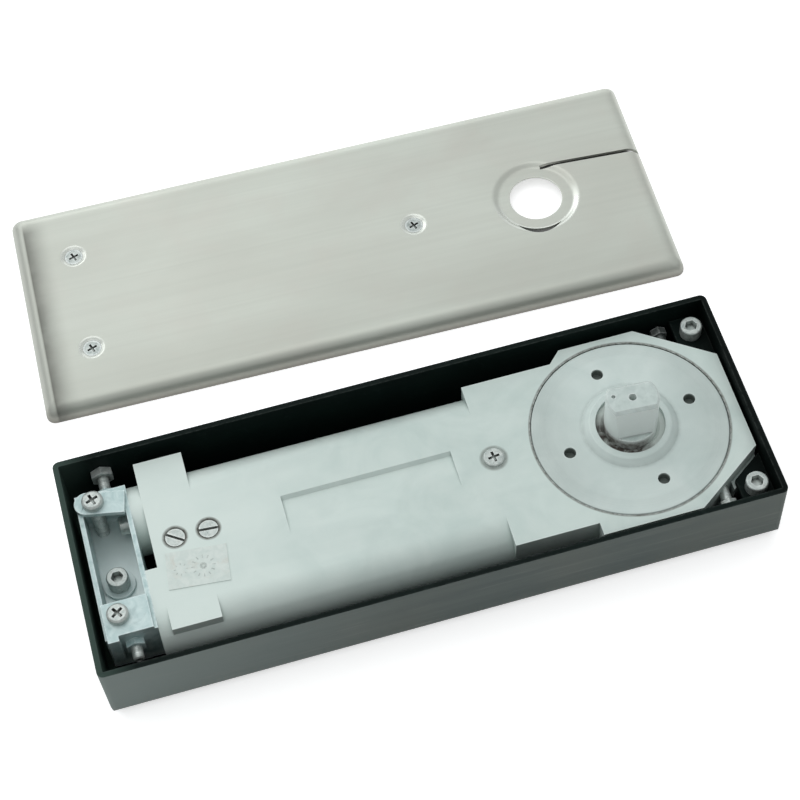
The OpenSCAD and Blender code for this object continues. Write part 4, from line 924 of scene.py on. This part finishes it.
def add_threads():
    """Threads on the shanks of the levelling and side screws, where they stand free."""
    tree, names = thread_tree(FINISHES["zinc_screw"])
    pitch, ridge, sunk = 0.8, 0.24, 0.12
    upright = Matrix.Identity(4)
    across = Matrix.Rotation(math.radians(-90), 4, "X")
    for name, body, radius, place, turn, length in (
            ("back_level_thread", "back_level_screw", 3.0, (-238.2, 31.0, 4.0), upright, 29.0),
            ("front_level_thread", "front_level_screw", 3.0, (-238.2, -26.0, 4.0), upright, 29.0),
            ("back_side_thread", "back_side_screw", 2.5, (-232.2, 42.5, 26.4), across, 3.7),
            ("front_side_thread", "front_side_screw", 2.5, (-234.2, -43.2, 26.4), across, 4.6)):
        mesh = grown(name, tree, names, {"Radius": (radius - sunk) * MM, "Pitch": pitch * MM,
                                         "Length": length * MM, "Ridge": ridge * MM})
        mesh.transform(Matrix.Translation(Vector(place) * MM) @ turn)
        keep_sharp(mesh, 60)
        place_piece(name, mesh, body, "zinc_screw")


def add_dial():
    """Generic dial ticks on the setting label: a large ring with a hub, and a small ring beside it."""
    tree, names = tick_tree(INK)
    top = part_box("setting_label")[1][2]
    middle, skew = (-0.2005, -0.0118, top + 0.00002), math.radians(-6)
    lie = Matrix.Translation(middle) @ Matrix.Rotation(skew, 4, "Z")
    for name, count, radius, long, wide, along in (
            ("dial_ring", 12, 4.6, 1.5, 0.42, 2.5),
            ("dial_hub", 10, 1.1, 1.0, 0.6, 2.5),
            ("dial_small", 8, 2.6, 0.9, 0.34, -7.4)):
        mesh = grown(name, tree, names, {"Count": count, "Radius": radius * MM, "Long": long * MM,
                                         "Wide": wide * MM, "Thick": 0.03 * MM, "First": 0.0})
        mesh.transform(lie @ Matrix.Translation((along * MM, 0, 0)))
        place_piece(name, mesh, "closer", "label_foil")


for name, node in NODES.items():
    coat(node.data, SLOT_OF[name])

# Width in millimetres of the ease on each node's edges
EASED = {"closer_housing": 0.4, "end_bracket": 0.3, "bearing_cap": 0.25, "spindle": 0.25,
         "back_strap": 0.35, "front_strap": 0.35, "cement_box": 0.35, "corner_clamps": 0.3,
         "corner_screws": 0.2, "clamp_screw": 0.2, "clamp_washer": 0.2, "back_level_screw": 0.2,
         "front_level_screw": 0.2, "filler_screw": 0.2, "sweep_valve": 0.15, "latch_valve": 0.15,
         "side_screw_nuts": 0.2, "back_side_screw": 0.2, "head_side_screws": 0.2}
for name, width in EASED.items():
    eased_copy(name, width * MM)
# The cover's screws sit a little deeper in the drawn dimples
eased_copy("cover_screws", 0.15 * MM, drop=0.75 * MM)
pressed_cover()
add_spring()
add_threads()
add_dial()


# Floor, light and camera

def lay_floor():
    """White floor that keeps the object's shadow; close under the cover it gives no light of its own and
    is painted darker, a painted shade.
    """
    mesh, far = bpy.data.meshes.new("floor"), 4
    corners = [(-far, -far, 0), (far, -far, 0), (far, far, 0), (-far, far, 0)]
    mesh.from_pydata(corners, [], [(0, 1, 2, 3)])
    floor = linked("floor", mesh)
    material = bpy.data.materials.new("floor_white")
    material.use_nodes = True
    w = Wiring(material.node_tree)
    material.node_tree.nodes.clear()
    out = w.node("ShaderNodeOutputMaterial")
    where = w.node("ShaderNodeTexCoord").outputs["Object"]
    local = w.stretch(where, (1, 1, 1), COVER_SHIFT, -COVER_TURN)
    along, over, _ = w.parts(local)
    half_length, half_width = COVER_L / 2 * MM, COVER_W / 2 * MM
    off_length = w.math("ABSOLUTE", w.math("SUBTRACT", along, half_length))
    off_width = w.math("ABSOLUTE", w.math("SUBTRACT", over, half_width))
    edge = w.math("MAXIMUM", off_length, w.math("ADD", off_width, half_length - half_width))
    under = w.span(edge, half_length - 0.003, half_length - 0.005)
    lit_x, lit_y = 0.2570, 0.0635  # seen through the plate's hole from the photograph's side
    under = w.math("MULTIPLY", under, w.span(w.far_from(local, lit_x, lit_y), 0.0165, 0.0185))
    above = w.node("ShaderNodeAmbientOcclusion", samples=8)
    above.inputs["Distance"].default_value = 0.03
    under = w.math("MULTIPLY", under, w.span(above.outputs["AO"], 0.7, 0.45))
    plain = w.node("ShaderNodeBsdfDiffuse")
    # Under the cover the floor's darker colour is a painted shade.
    pale, dim = (0.86, 0.86, 0.86, 1), (0.30, 0.30, 0.30, 1)
    w.put(w.mix(under, pale, dim), plain.inputs["Color"])
    glow = w.node("ShaderNodeEmission")
    glow.inputs["Color"].default_value = (1, 1, 1, 1)
    w.put(w.span(under, 0.0, 1.0, 0.55, 0.0), glow.inputs["Strength"])
    both = w.node("ShaderNodeAddShader")
    w.join(plain.outputs[0], both.inputs[0])
    w.join(glow.outputs[0], both.inputs[1])
    seen = w.node("ShaderNodeLightPath")
    direct = w.math("MAXIMUM", seen.outputs["Is Camera Ray"], seen.outputs["Is Glossy Ray"])
    direct = w.math("MAXIMUM", direct, seen.outputs["Is Transmission Ray"])
    pick = w.node("ShaderNodeMixShader")
    w.join(direct, pick.inputs[0])
    w.join(plain.outputs[0], pick.inputs[1])
    w.join(both.outputs[0], pick.inputs[2])
    w.join(pick.outputs[0], out.inputs[0])
    mesh.materials.append(material)


def fill_light():
    """Soft room light: brightest overhead, dimmer low down and on the near side."""
    world = bpy.data.worlds.new("studio")
    bpy.context.scene.world = world
    world.use_nodes = True
    w = Wiring(world.node_tree)
    world.node_tree.nodes.clear()
    out = w.node("ShaderNodeOutputWorld")
    _, far, height = w.parts(w.node("ShaderNodeTexCoord").outputs["Generated"])
    level = w.span(height, -0.3, 0.7)
    side = w.span(far, -0.75, 0.35, 0.0, 0.3)
    room = w.node("ShaderNodeBackground")
    dark, bright = (0.10, 0.10, 0.095, 1), (0.95, 0.97, 0.98, 1)
    w.put(w.mix(w.math("MULTIPLY_ADD", level, 0.7, side), dark, bright), room.inputs["Color"])
    window = w.math("MULTIPLY", w.span(far, 0.70, 0.90), w.span(height, 0.04, 0.14))
    window = w.math("MULTIPLY", window, w.span(height, 0.56, 0.40))
    w.put(w.math("MULTIPLY_ADD", window, 1.3, 0.88), room.inputs["Strength"])
    white = w.node("ShaderNodeBackground")
    white.inputs["Color"].default_value = (1, 1, 1, 1)
    pick = w.node("ShaderNodeMixShader")
    w.join(w.node("ShaderNodeLightPath").outputs["Is Camera Ray"], pick.inputs[0])
    w.join(room.outputs[0], pick.inputs[1])
    w.join(white.outputs[0], pick.inputs[2])
    w.join(pick.outputs[0], out.inputs[0])


def hang_lamp(name, place, aim, size, power):
    """A broad soft lamp that looks at a point."""
    lamp = bpy.data.lights.new(name, "AREA")
    lamp.shape = "RECTANGLE"
    lamp.size, lamp.size_y = size
    lamp.energy = power
    held = linked(name, lamp)
    held.location = place
    held.rotation_euler = (Vector(aim) - Vector(place)).to_track_quat("-Z", "Y").to_euler()


def set_camera():
    """The photograph's view, worked out from the box's corners."""
    eye = Vector((-0.1859, -0.4267, 0.8141))
    ahead = Vector((0.1001, 0.5139, -0.8520)).normalized()
    right = Vector((0.9626, -0.2668, -0.0478))
    right = (right - ahead * right.dot(ahead)).normalized()
    up = right.cross(ahead)
    lens = bpy.data.cameras.new("photo_view")
    sensor, focal_pixels, frame_pixels = 36, 2026.4, 800
    lens.sensor_width = sensor
    lens.lens = sensor * focal_pixels / frame_pixels
    lens.clip_start = 0.01
    camera = linked("photo_view", lens)
    turn = Matrix((right, up, -ahead)).transposed().to_4x4()
    camera.matrix_world = Matrix.Translation(eye) @ turn
    bpy.context.scene.camera = camera


lay_floor()
fill_light()
hang_lamp("overhead", place=(-0.35, 0.30, 1.4), aim=(-0.1, 0.08, 0), size=(1.2, 1.2), power=3.7)
hang_lamp("window_side", place=(-0.7, 1.1, 0.65), aim=(-0.1, 0.05, 0), size=(1.2, 0.6), power=2.6)
set_camera()

view = bpy.context.scene.view_settings
view.view_transform = "Standard"
